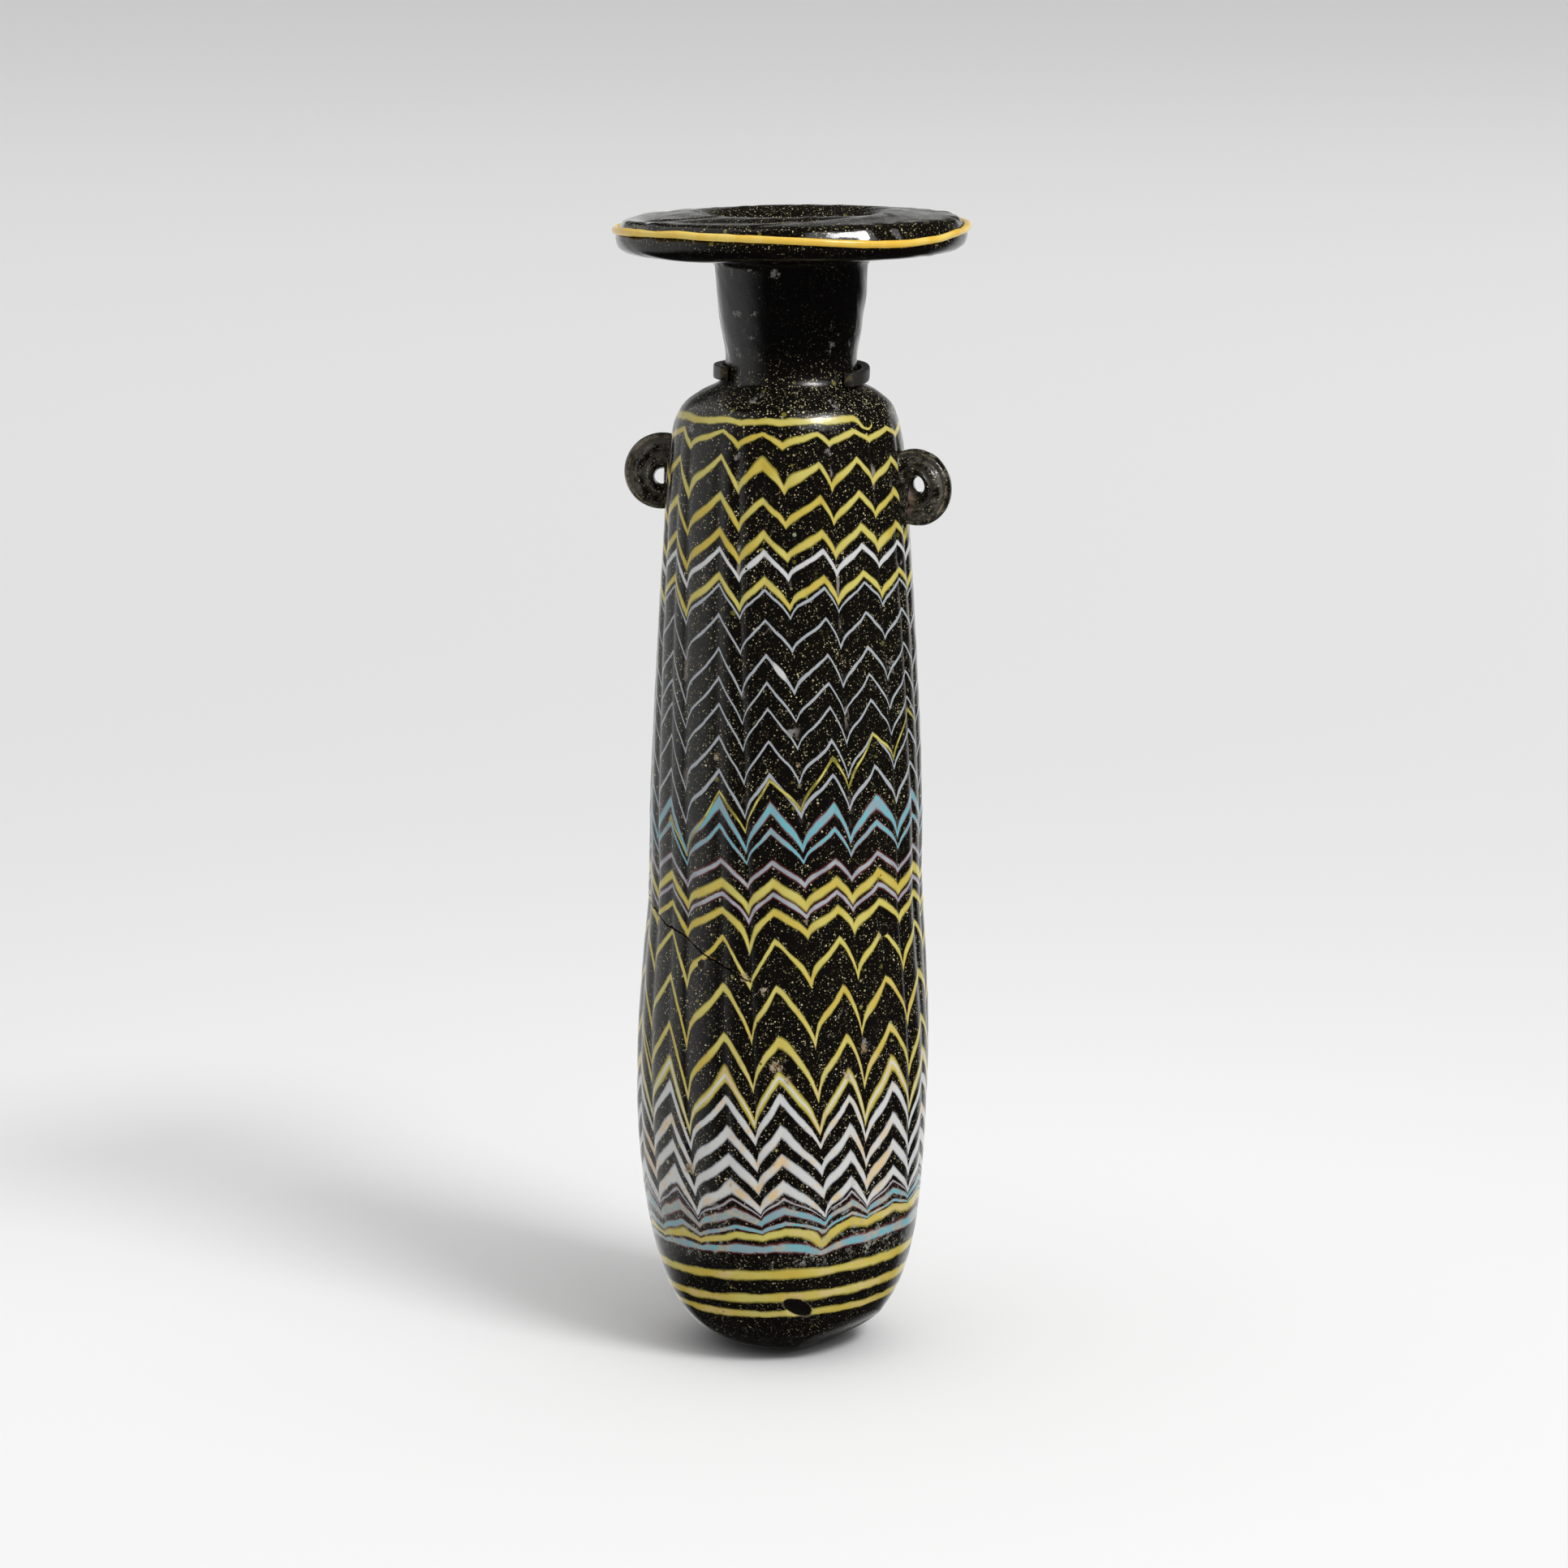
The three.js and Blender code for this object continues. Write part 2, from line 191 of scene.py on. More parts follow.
# Stand.
CLIP_INNER = 10.1
CLIP_THICKNESS = 1.25
CLIP_TALL = 2.0
CLIP_HEIGHT = 146.6
CLIP_LEFT_END = -62
CLIP_RIGHT_END = 45
CLIP_RIGHT_DROP = 0.7
CLIP_RIGHT_OUT = 0.4
ROD_RADIUS = 1.4
ROD_BEHIND = 25
ROD_BEND = 3.2
FOOT_WIDTH = 30
FOOT_FRONT = 21
FOOT_BACK = 57
FOOT_THICKNESS = 3
FOOT_CORNER = 2.5

# Viewpoint and studio.
CAMERA_BACK = 692
CAMERA_UP = 214.7
CAMERA_PITCH = 10.6
CAMERA_FOCAL_SHARE = 5850 / 1932
KEY_BEARING = 45
KEY_RISE = 47
KEY_DISTANCE = 5.0
KEY_SIZE = (4.2, 3.0)
KEY_WATTS = 60
CORE_SIZE = (1.6, 1.0)
CORE_FORWARD = 0.1
CORE_WATTS = 118
AMBIENT_SIDES = 0.17
AMBIENT_OVERHEAD = 1.13
BACKDROP = 0.63
# What reflections see: bearings and upward slopes between which each surface fades in, and how bright it is.
BEHIND_BEARINGS = (128, 150)
BEHIND_TOP = (0.3, 0.06)
BEHIND_SHINE = 0.8
CARD_FRONT = (-38, -86)
CARD_BACK = (160, 140)
CARD_SHINE = 0.62
SURROUND_FOOT = (-0.6, -0.35)
SURROUND_SHINE = 0.02


def smooth(x, low, high):
    """An S-shaped step: 0 up to low, 1 from high on, 3t^2 - 2t^3 between."""
    t = np.clip((x - low) / (high - low), 0, 1)
    return t * t * (3 - 2 * t)


def curve_through(points, per_span=24):
    """Points on the curve through the given ones whose slope at each is half the step between its neighbours."""
    p = np.asarray(points, float)
    p = np.vstack([p[:1], p, p[-1:]])
    a, b, c, d = p[:-3], p[1:-2], p[2:-1], p[3:]
    t = np.linspace(0, 1, per_span, endpoint=False)[:, None, None]
    start, end = (c - a) / 2, (d - b) / 2
    q = (2 * b - 2 * c + start + end) * t**3 + (3 * c - 3 * b - 2 * start - end) * t**2 + start * t + b
    return np.vstack([q.transpose(1, 0, 2).reshape(-1, p.shape[1]), p[-1:]])


def evenly(points, step):
    """The same curve, resampled at equal steps along its length."""
    length = np.concatenate([[0], np.cumsum(np.linalg.norm(np.diff(points, axis=0), axis=1))])
    at = np.linspace(0, length[-1], int(round(length[-1] / step)) + 1)
    return np.stack([np.interp(at, length, points[:, k]) for k in range(points.shape[1])], axis=1)


def lean(z):
    """Sideways shift of the axis at a height: a slight belly to the left, then steps to the right."""
    belly = BELLY_LEAN * np.exp(-(((z - BELLY_HEIGHT) / BELLY_SPREAD) ** 2))
    return belly + BODY_LEAN * smooth(z, *BODY_LEAN_SPAN) + NECK_LEAN * smooth(z, *NECK_LEAN_SPAN)


def wander(angle, along, turns, wave, seed):
    """A closed, gentle unevenness: a few sines round the bottle and along it, with fixed odd phases."""
    total = 0.0
    for k in range(1, 6):
        phase = seed * 1.7 + k * 2.399
        around = np.radians(angle) * round(turns * (0.5 + 0.27 * k))
        total = total + np.sin(around + along * (2 * math.pi / wave) * (0.6 + 0.31 * k) + phase) / (1 + 0.5 * k)
    return total / 2.2


def spot(angle, z, radius, place_angle, place_z, half_wide, half_tall):
    """A round hump of height 1 on the wall: a bell curve of the distance over the surface."""
    turn = (angle - place_angle + 180) % 360 - 180
    across = np.radians(turn) * np.maximum(radius, 4)
    return np.exp(-((across / half_wide) ** 2) - ((z - place_z) / half_tall) ** 2)


def mesh_piece(name, grid, closed_rows=False, start_point=False, end_point=False, values=None, flip=False):
    """A surface from a grid of points whose columns close on themselves.

    Four neighbouring points make a face. A first or last row that has shrunk to a point becomes one vertex
    with a fan of triangles. closed_rows joins the last row to the first, flip turns the faces round, and values
    are kept on the vertices by name.
    """
    rows, columns = grid.shape[:2]
    index = np.arange(rows * columns).reshape(rows, columns)
    if closed_rows:
        index = np.vstack([index, index[:1]])
    first = 1 if start_point else 0
    last = len(index) - 1 if end_point else len(index)
    body = index[first:last]
    right = np.roll(body, -1, axis=1)
    quads = np.stack([body[:-1], right[:-1], right[1:], body[1:]], axis=-1).reshape(-1, 4)
    fans = []
    if start_point:
        ring = index[1]
        fans.append(np.stack([np.full(columns, index[0, 0]), np.roll(ring, -1), ring], axis=-1))
    if end_point:
        ring = index[-2]
        fans.append(np.stack([np.full(columns, index[-1, 0]), ring, np.roll(ring, -1)], axis=-1))
    keep = np.ones(rows * columns, bool)
    if start_point:
        keep[index[0, 1:]] = False
    if end_point:
        keep[index[-1, 1:]] = False
    renumber = np.cumsum(keep) - 1
    order = slice(None, None, -1 if flip else 1)
    faces = sum((renumber[group][:, order].tolist() for group in (quads, *fans)), [])
    mesh = bpy.data.meshes.new(name)
    mesh.from_pydata((grid.reshape(-1, 3)[keep] * MM).tolist(), [], faces)
    mesh.polygons.foreach_set("use_smooth", np.ones(len(mesh.polygons), bool))
    for key, value in (values or {}).items():
        layer = mesh.attributes.new(key, "FLOAT", "POINT")
        layer.data.foreach_set("value", value.reshape(-1)[keep].astype(np.float32))
    mesh.update()
    piece = bpy.data.objects.new(name, mesh)
    bpy.context.scene.collection.objects.link(piece)
    return piece


def strokes():
    """Angle of every stroke at the three heights, with the first stroke again a turn later."""
    back = np.asarray(BACK_STROKES)[:, None] + np.asarray(BACK_SLANT)
    table = np.vstack([np.asarray(FRONT_STROKES), back])
    return np.vstack([table, table[:1] + 360])


def stroke_angles(z):
    """Angle of every column at each height: columns sit on the strokes and divide the gaps evenly."""
    table = strokes()
    steps = np.arange(len(table) * STROKE_COLUMNS - STROKE_COLUMNS) / STROKE_COLUMNS
    columns = np.stack([np.interp(steps, np.arange(len(table)), table[:, k]) for k in range(3)], axis=1)
    held = np.clip(z, FURROW_FOOT, FURROW_TOP)
    low, mid, top = STROKE_HEIGHTS
    below = columns[:, 1] + (columns[:, 0] - columns[:, 1]) * ((mid - held) / (mid - low))[:, None]
    above = columns[:, 1] + (columns[:, 2] - columns[:, 1]) * ((held - mid) / (top - mid))[:, None]
    return np.where((held < mid)[:, None], below, above)


def comb_pull(z):
    """Pull of the comb on each column at each height: lowest on a down stroke, highest on an up stroke.

    Between two strokes the thread follows a power of the way across, so that it hangs in arches with their points
    down, plus a sine, so that it is steep next to a stroke and slacker halfway, more so across a wide gap.
    """
    pull = np.vstack([np.asarray(FRONT_PULL), np.asarray(BACK_PULL)[:, None] + np.zeros(3)])
    count = len(pull)
    signed = pull * np.where(np.arange(count) % 2 == 0, -0.5, 0.5)[:, None]
    at_stroke = np.stack([np.interp(z, STROKE_HEIGHTS, row) for row in signed], axis=1)
    here = np.repeat(at_stroke, STROKE_COLUMNS, axis=1)
    there = np.repeat(np.roll(at_stroke, -1, axis=1), STROKE_COLUMNS, axis=1)
    part = np.tile(np.arange(STROKE_COLUMNS) / STROKE_COLUMNS, count)
    climbing = np.repeat(np.arange(count) % 2 == 0, STROKE_COLUMNS)
    climb = np.interp(z, POWER_HEIGHTS, CLIMB_POWERS)[:, None]
    fall = np.interp(z, POWER_HEIGHTS, FALL_POWERS)[:, None]
    lift = part ** np.where(climbing, climb, fall)
    gap = np.repeat(np.diff(strokes()[:, 1]), STROKE_COLUMNS)
    cusp = CUSP_PER_DEGREE * (gap - CUSP_FROM)
    share = lift + cusp * np.sin(2 * math.pi * lift) / (2 * math.pi)
    return here + (there - here) * share


def winding_height(angle, z, pull):
    """Height that the thread at this place was wound at, before the comb dragged it.

    A thread wound at h lies at h + pull(h) x stroke + rise(h) x sine, so h is found by repeated halving of the
    error. Sags then lower the threads further, by a cusp across and a bell curve in height.
    """
    h = z.copy()
    wave = np.sin(np.radians(angle + RISE_FROM))
    for _ in range(30):
        drag = np.interp(h, PULL_HEIGHTS, PULLS) * pull
        h = (h + z - drag - np.interp(h, RISE_HEIGHTS, RISES) * wave) / 2
    for at, height, reach, tall, deep in SAGS:
        h = h + deep * np.exp(-np.abs(angle - at) / reach - ((z - height) / tall) ** 2)
    return h


def press_flat(points):
    """Flattens the base where it was set down hot: points beyond a plane move most of the way back to it."""
    bearing, dip = math.radians(FLAT_BEARING), math.radians(FLAT_DIP)
    normal = np.array([math.cos(dip) * math.sin(bearing), -math.cos(dip) * math.cos(bearing), -math.sin(dip)])
    beyond = np.maximum(points @ normal - FLAT_REACH, 0)
    return points - beyond[..., None] * normal * FLAT_SHARE


def glass_vessel():
    """The vessel as one closed surface: up the outside, over the rim and down the hollow to its floor.

    Each row is a ring at one step of the outline, moved along the outline's normal by furrows, pits and unevenness.
    """
    body = evenly(curve_through(BODY_OUTLINE), BODY_STEP)
    rim = evenly(curve_through(RIM_OUTLINE), RIM_STEP)[1:]
    hollow = evenly(curve_through(HOLLOW_OUTLINE), HOLLOW_STEP)[1:]
    base = np.array([(0, 0), (REST_RADIUS / 2, 0)])
    outline = np.vstack([base, body, rim, hollow])
    part = np.repeat([0, 1, 2, 3], [len(base), len(body), len(rim), len(hollow)])
    slope = np.gradient(outline, axis=0)
    slope /= np.linalg.norm(slope, axis=1)[:, None]
    normal = np.stack([slope[:, 1], -slope[:, 0]], axis=1)

    radius, height = outline[:, :1], outline[:, 1:]
    angle = stroke_angles(np.where(part >= 2, FURROW_TOP, outline[:, 1]))
    z = height + 0 * angle
    pull = comb_pull(outline[:, 1]) * (1 + UNEVEN_PULL * wander(angle, z, 17, 23, 9))

    on_body = (part == 1).astype(float)[:, None]
    on_rim = (part == 2).astype(float)[:, None]
    away = np.abs((np.arange(angle.shape[1]) / STROKE_COLUMNS + 0.5) % 1 - 0.5) * 2
    nearest = np.round(np.arange(angle.shape[1]) / STROKE_COLUMNS).astype(int)
    depth = np.where(nearest % 2 == 0, DOWN_FURROW, UP_FURROW) * (1 - away) ** 2.4
    reach = smooth(z, FURROW_FOOT, FURROW_FOOT + 12) * (1 - smooth(z, FURROW_TOP - 9, FURROW_TOP))
    move = -depth * reach * on_body
    furrow = np.where(nearest % 2 == 0, (1 - away) ** 2, 0) * reach * on_body
    settle = smooth(z, 2, 12)
    move += on_body * settle * (0.1 * wander(angle, z, 3, 55, 1) + 0.035 * wander(angle, z, 9, 11, 2))
    move += on_body * settle * 0.018 * wander(angle, z, 24, 4.2, 3)
    on_neck = on_body * smooth(z, 146, 150)
    move += on_neck * (0.1 * wander(angle, z, 4, 9, 4) + 0.05 * wander(angle, z, 15, 30, 5))
    flat_top = on_rim * smooth(normal[:, 1:], 0.2, 0.7)
    move += flat_top * (0.1 * wander(angle, radius * 1.0, 3, 9, 6) + 0.045 * wander(angle, radius * 1.0, 8, 3.5, 7))
    bevel = on_rim * smooth(z, 166.4, 167.2) * smooth(radius, 22, 24)
    move += bevel * (0.16 * wander(angle, z, 17, 40, 15) + 0.075 * wander(angle, z, 30, 9, 16) - 0.07)
    quiet = 1 - 0.8 * bevel
    move += on_rim * (1 - flat_top) * quiet * 0.1 * wander(angle, z + radius, 7, 12, 8)
    move += on_rim * (0.06 * quiet * wander(angle, z + radius, 24, 5, 14) - 0.1)
    pit = 0 * z
    for a, at, wide, tall, deep, fall in PITS:
        slant = fall * ((angle - a + 180) % 360 - 180)
        bell = spot(angle, z + slant, radius, a, at, wide, tall) * on_body
        move -= deep * smooth(bell, 0.22, 0.6)
        pit = np.maximum(pit, bell)
    front = (angle + 180) % 360 - 180
    crack_at = np.interp(front, *np.array(CRACK).T)
    crack_shown = smooth(front, -98, -86) * (1 - smooth(front, -34, -3)) * on_body
    move += 0.07 * crack_shown * np.tanh((z - crack_at) / 0.5) * np.exp(-np.abs(z - crack_at) / 4)

    r = radius + move * normal[:, :1]
    up = height + move * normal[:, 1:]
    turn = np.radians(angle)
    x = r * np.sin(turn)
    tip = x * RIM_TILT * smooth(up, *RIM_TILT_SPAN)
    points = np.stack([x + lean(up), -r * np.cos(turn), np.maximum(up + tip, 0)], axis=-1)
    outside = (part <= 1)[:, None, None]
    points = np.where(outside, press_flat(points), points)

    wound = winding_height(angle, z, pull)
    # The topmost thread dips at its right end and stops.
    wound += 2.2 * smooth(front, 37, 46) * (1 - smooth(front, 47, 50)) * smooth(z, 138.6, 139.8)
    wound = np.where(part[:, None] == 1, wound, np.where(part[:, None] == 0, -50.0, 400.0))
    ended = smooth(front, 46.5, 48) * (1 - smooth(front, 104, 110)) * smooth(z, 139.4, 140.2) * on_body
    swell = 1 + 0 * z
    for a, at, wide, tall, more in SWELLS:
        swell = swell + more * spot(angle, z, radius, a, at, wide * 0.33, tall)
    stray = wound - STRAY_MIDDLE - STRAY_CLIMB * front
    start, end = STRAY_SPAN
    stray += 30 * (1 - smooth(front, start - 1, start) + smooth(front, end, end + 1))
    flake = sum(spot(angle, z, radius, a, at, size, size) for a, at, size in FLAKES)
    film = sum(spot(angle, z, radius, a, at, size, size) for a, at, size in FILMS)
    values = {
        "winding": wound,
        "swell": np.maximum(swell * (1 - ended), 0.002),
        "pit": pit,
        "furrow": furrow,
        "stray": np.clip(stray, -20, 20),
        "crack": np.clip(z - crack_at, -9, 9) + 9 * (1 - (part[:, None] == 1)),
        "crack_shown": crack_shown,
        "flake": flake * on_body,
        "film": film * on_body,
    }
    return mesh_piece("glass_vessel", points, start_point=True, end_point=True, values=values)


def rim_trail():
    """The raised thread on the rim: an oval section carried round the edge, wandering up and down."""
    angle = np.linspace(-180, 180, 420, endpoint=False)
    way = curve_through(TRAIL_PLACES, 60)
    middle = np.interp(angle, way[:, 0], way[:, 1]) + 0.08 * wander(angle, 0, 13, 20, 11)
    thick = 1 + 0.14 * wander(angle, 0, 9, 20, 12) + 0.07 * wander(angle, 0, 31, 20, 13)
    section = np.linspace(0, 2 * math.pi, 20, endpoint=False)
    out = TRAIL_RADIUS + TRAIL_HALF_OUT * thick[:, None] * np.cos(section)
    up = middle[:, None] + TRAIL_HALF_UP * thick[:, None] * np.sin(section)
    turn = np.radians(angle)[:, None]
    x = out * np.sin(turn)
    points = np.stack([x + lean(up), -out * np.cos(turn), up + x * RIM_TILT], axis=-1)
    return mesh_piece("rim_trail", points, closed_rows=True, flip=True)


def ring_handle(name, ring):
    """A coil of glass: a ridged section turned round a small hole, its inner edge trimmed to the wall.

    The hole sits off centre, the section swells towards the bottle where the coil was pressed on, fine waves
    follow the winding of the coil, and a bell-shaped scoop may open the hole towards the bottle.
    """
    half = curve_through(RING_OUTLINE, 6)
    loop = np.vstack([half, half[-2:0:-1] * (1, -1)])
    swing = np.linspace(0, 360, 144, endpoint=False)[:, None]
    out, wide = loop[:, 0][None, :], loop[:, 1][None, :]
    inward = (1 - np.cos(np.radians(swing))) / 2
    share = (out - RING_OUTLINE[0][0]) / (RING_RADIUS - RING_OUTLINE[0][0])
    wide = wide * (1 + 0.3 * inward**2 * share) + np.sign(wide) * 0.12 * wander(swing, out * 2, 5, 9, ring["height"])
    out = out * (1 + 0.016 * wander(swing, 0 * out, 4, 9, ring["height"] + 3))
    across = out * np.cos(np.radians(swing)) + ring["hole_out"] * (1 - share) ** 1.5
    rise = out * np.sin(np.radians(swing)) + ring["hole_up"] * (1 - share) ** 1.5
    scoop = np.exp(-((across - SCOOP[0]) ** 2 + (rise - SCOOP[1]) ** 2) / SCOOP[2] ** 2) * (wide < 0)
    wide = wide + ring["scoop"] * scoop * np.minimum(np.abs(wide), 1)
    facing = math.radians(ring["facing"])
    along = np.array([math.sin(facing), -math.cos(facing), 0])
    axle = np.array([math.cos(facing), math.sin(facing), 0])
    place = math.radians(ring["angle"])
    shift = lean(np.array(float(ring["height"])))
    centre = np.array([math.sin(place) * ring["distance"], -math.cos(place) * ring["distance"], ring["height"]])
    points = centre + across[..., None] * along + wide[..., None] * axle + rise[..., None] * np.array([0, 0, 1])
    from_axis = np.linalg.norm(points[..., :2], axis=-1)
    points[..., :2] *= (np.maximum(from_axis, RING_FOOT) / from_axis)[..., None]
    points[..., 0] += shift
    groove = sum(np.exp(-(((loop[:, 0] - at) / RING_GROOVE_WIDTH) ** 2)) for at in RING_GROOVES)
    edge = np.exp(-(((loop[:, 0] - RING_EDGE) / RING_EDGE_WIDTH) ** 2))
    values = {"scoop": scoop * ring["scoop"], "groove": groove + 0 * wide, "edge": edge + 0 * wide}
    return mesh_piece(name, points, closed_rows=True, values=values, flip=True)


def press_pad(name, ring):
    """The smear of glass that fuses a coil to the wall: a low oval cushion bent round the bottle."""
    tall = np.linspace(-90, 90, 40)[:, None]
    round_it = np.linspace(0, 360, 64, endpoint=False)[None, :]
    across = PAD_HALF_WIDE * np.cos(np.radians(tall)) * np.cos(np.radians(round_it))
    up = PAD_HALF_TALL * np.sin(np.radians(tall)) + 0 * across
    out = PAD_HALF_THICK * np.cos(np.radians(tall)) * np.sin(np.radians(round_it))
    z = ring["height"] + up
    wall = np.interp(z, [o[1] for o in BODY_OUTLINE[:14]], [o[0] for o in BODY_OUTLINE[:14]])
    radius = wall - PAD_SUNK + out
    turn = np.radians(ring["angle"]) + across / wall
    points = np.stack([radius * np.sin(turn) + lean(z), -radius * np.cos(turn), z], axis=-1)
    return mesh_piece(name, points, start_point=True, end_point=True)


def round_bar(angle_steps, half_wide, half_tall, squareness):
    """Section of a bar with rounded edges: a superellipse, squarer as the power grows."""
    t = np.linspace(0, 2 * math.pi, angle_steps, endpoint=False)
    power = 2 / squareness
    across = np.sign(np.cos(t)) * np.abs(np.cos(t)) ** power * half_wide
    up = np.sign(np.sin(t)) * np.abs(np.sin(t)) ** power * half_tall
    return across, up


def clip_band():
    """The flat bar of the clip carried round the neck on an arc, its ends rounded off to a point.

    The right end stands off the neck and dips.
    """
    angle = np.linspace(CLIP_RIGHT_END, CLIP_LEFT_END + 360, 150)
    end = np.minimum(angle - angle[0], angle[-1] - angle) * math.radians(1) * CLIP_INNER
    full = np.sqrt(np.clip(1 - (1 - np.clip(end / 0.45, 0, 1)) ** 2, 0, 1))
    full = np.where(np.arange(len(angle)) % (len(angle) - 1) == 0, 0, np.maximum(full, 0.82))
    across, up = round_bar(32, CLIP_THICKNESS / 2, CLIP_TALL / 2, 7)
    uneven = 1 + 0.02 * wander(angle, 0 * angle, 9, 20, 21)
    sprung = (1 - smooth(angle, CLIP_RIGHT_END, CLIP_RIGHT_END + 75))[:, None]
    out = CLIP_INNER + CLIP_THICKNESS / 2 + CLIP_RIGHT_OUT * sprung + across * (full * uneven)[:, None]
    z = CLIP_HEIGHT - CLIP_RIGHT_DROP * sprung + up * (full * uneven)[:, None]
    turn = np.radians(angle)[:, None]
    points = np.stack([out * np.sin(turn) + lean(z), -out * np.cos(turn), z], axis=-1)
    worn = np.exp(-end / 0.5)[:, None] + 0 * z
    return mesh_piece("clip_band", points, start_point=True, end_point=True, values={"worn": worn}, flip=True)


def rod_bar():
    """The round rod: a circle carried up from the foot, round a quarter bend and forward to the clip.

    It swells a little at the foot, where it is brazed.
    """
    rise = np.linspace(FOOT_THICKNESS, CLIP_HEIGHT - ROD_BEND, 90)
    bend = np.radians(np.linspace(0, 90, 14))[1:]
    clip_back = CLIP_INNER + CLIP_THICKNESS + 0.05
    reach = np.linspace(ROD_BEHIND - ROD_BEND, clip_back, 26)[1:]
    y = np.concatenate([0 * rise + ROD_BEHIND, ROD_BEHIND - ROD_BEND * (1 - np.cos(bend)), reach])
    z = np.concatenate([rise, CLIP_HEIGHT - ROD_BEND + ROD_BEND * np.sin(bend), 0 * reach + CLIP_HEIGHT])
    tilt = np.concatenate([0 * rise, bend, 0 * reach + math.pi / 2])
    foot = 0.7 * np.exp(-(z - FOOT_THICKNESS) / 0.7)
    radius = (ROD_RADIUS - 0.02 + foot)[:, None]
    ring = np.linspace(0, 2 * math.pi, 28, endpoint=False)
    side, fore = radius * np.cos(ring), radius * np.sin(ring)
    shift = float(lean(np.array(CLIP_HEIGHT)))
    back = y[:, None] + fore * np.cos(tilt)[:, None]
    up = z[:, None] + fore * np.sin(tilt)[:, None]
    points = np.stack([side + shift, back, up], axis=-1)
    middle = points.mean(axis=1, keepdims=True) + 0 * points
    points = np.concatenate([middle[:1], points, middle[-1:]])
    return mesh_piece("rod_bar", points, start_point=True, end_point=True)


def foot_plate():
    """The foot: one rounded rectangle stacked through the thickness, drawn in at the eased edges."""
    corner = np.radians(np.arange(0, 90.1, 9))
    quarter = np.concatenate([corner + k * math.pi / 2 for k in range(4)])
    side = np.where(np.cos(quarter + 1e-6) > 0, 1, -1)
    deep = np.where(np.sin(quarter + 1e-6) > 0, 1, -1)
    edges = [(0.999, 0), (0.5, 0), (0.12, 0.06), (0, 0.3), (0, FOOT_THICKNESS - 0.5), (0.1, FOOT_THICKNESS - 0.22),
             (0.4, FOOT_THICKNESS), (3, FOOT_THICKNESS), (12, FOOT_THICKNESS)]
    middle = (FOOT_FRONT + FOOT_BACK) / 2
    half_deep = (FOOT_BACK - FOOT_FRONT) / 2
    rings = []
    for inset, z in edges:
        c = max(FOOT_CORNER - inset, 0.05)
        x = side * (FOOT_WIDTH / 2 - inset - c) + c * np.cos(quarter)
        y = middle + deep * (half_deep - inset - c) + c * np.sin(quarter)
        rings.append(np.stack([x, y, 0 * x + z], axis=-1))
    first = 0 * rings[0] + (0, middle, 0)
    last = 0 * rings[0] + (0, middle, FOOT_THICKNESS)
    return mesh_piece("foot_plate", np.stack([first, *rings, last]), start_point=True, end_point=True)


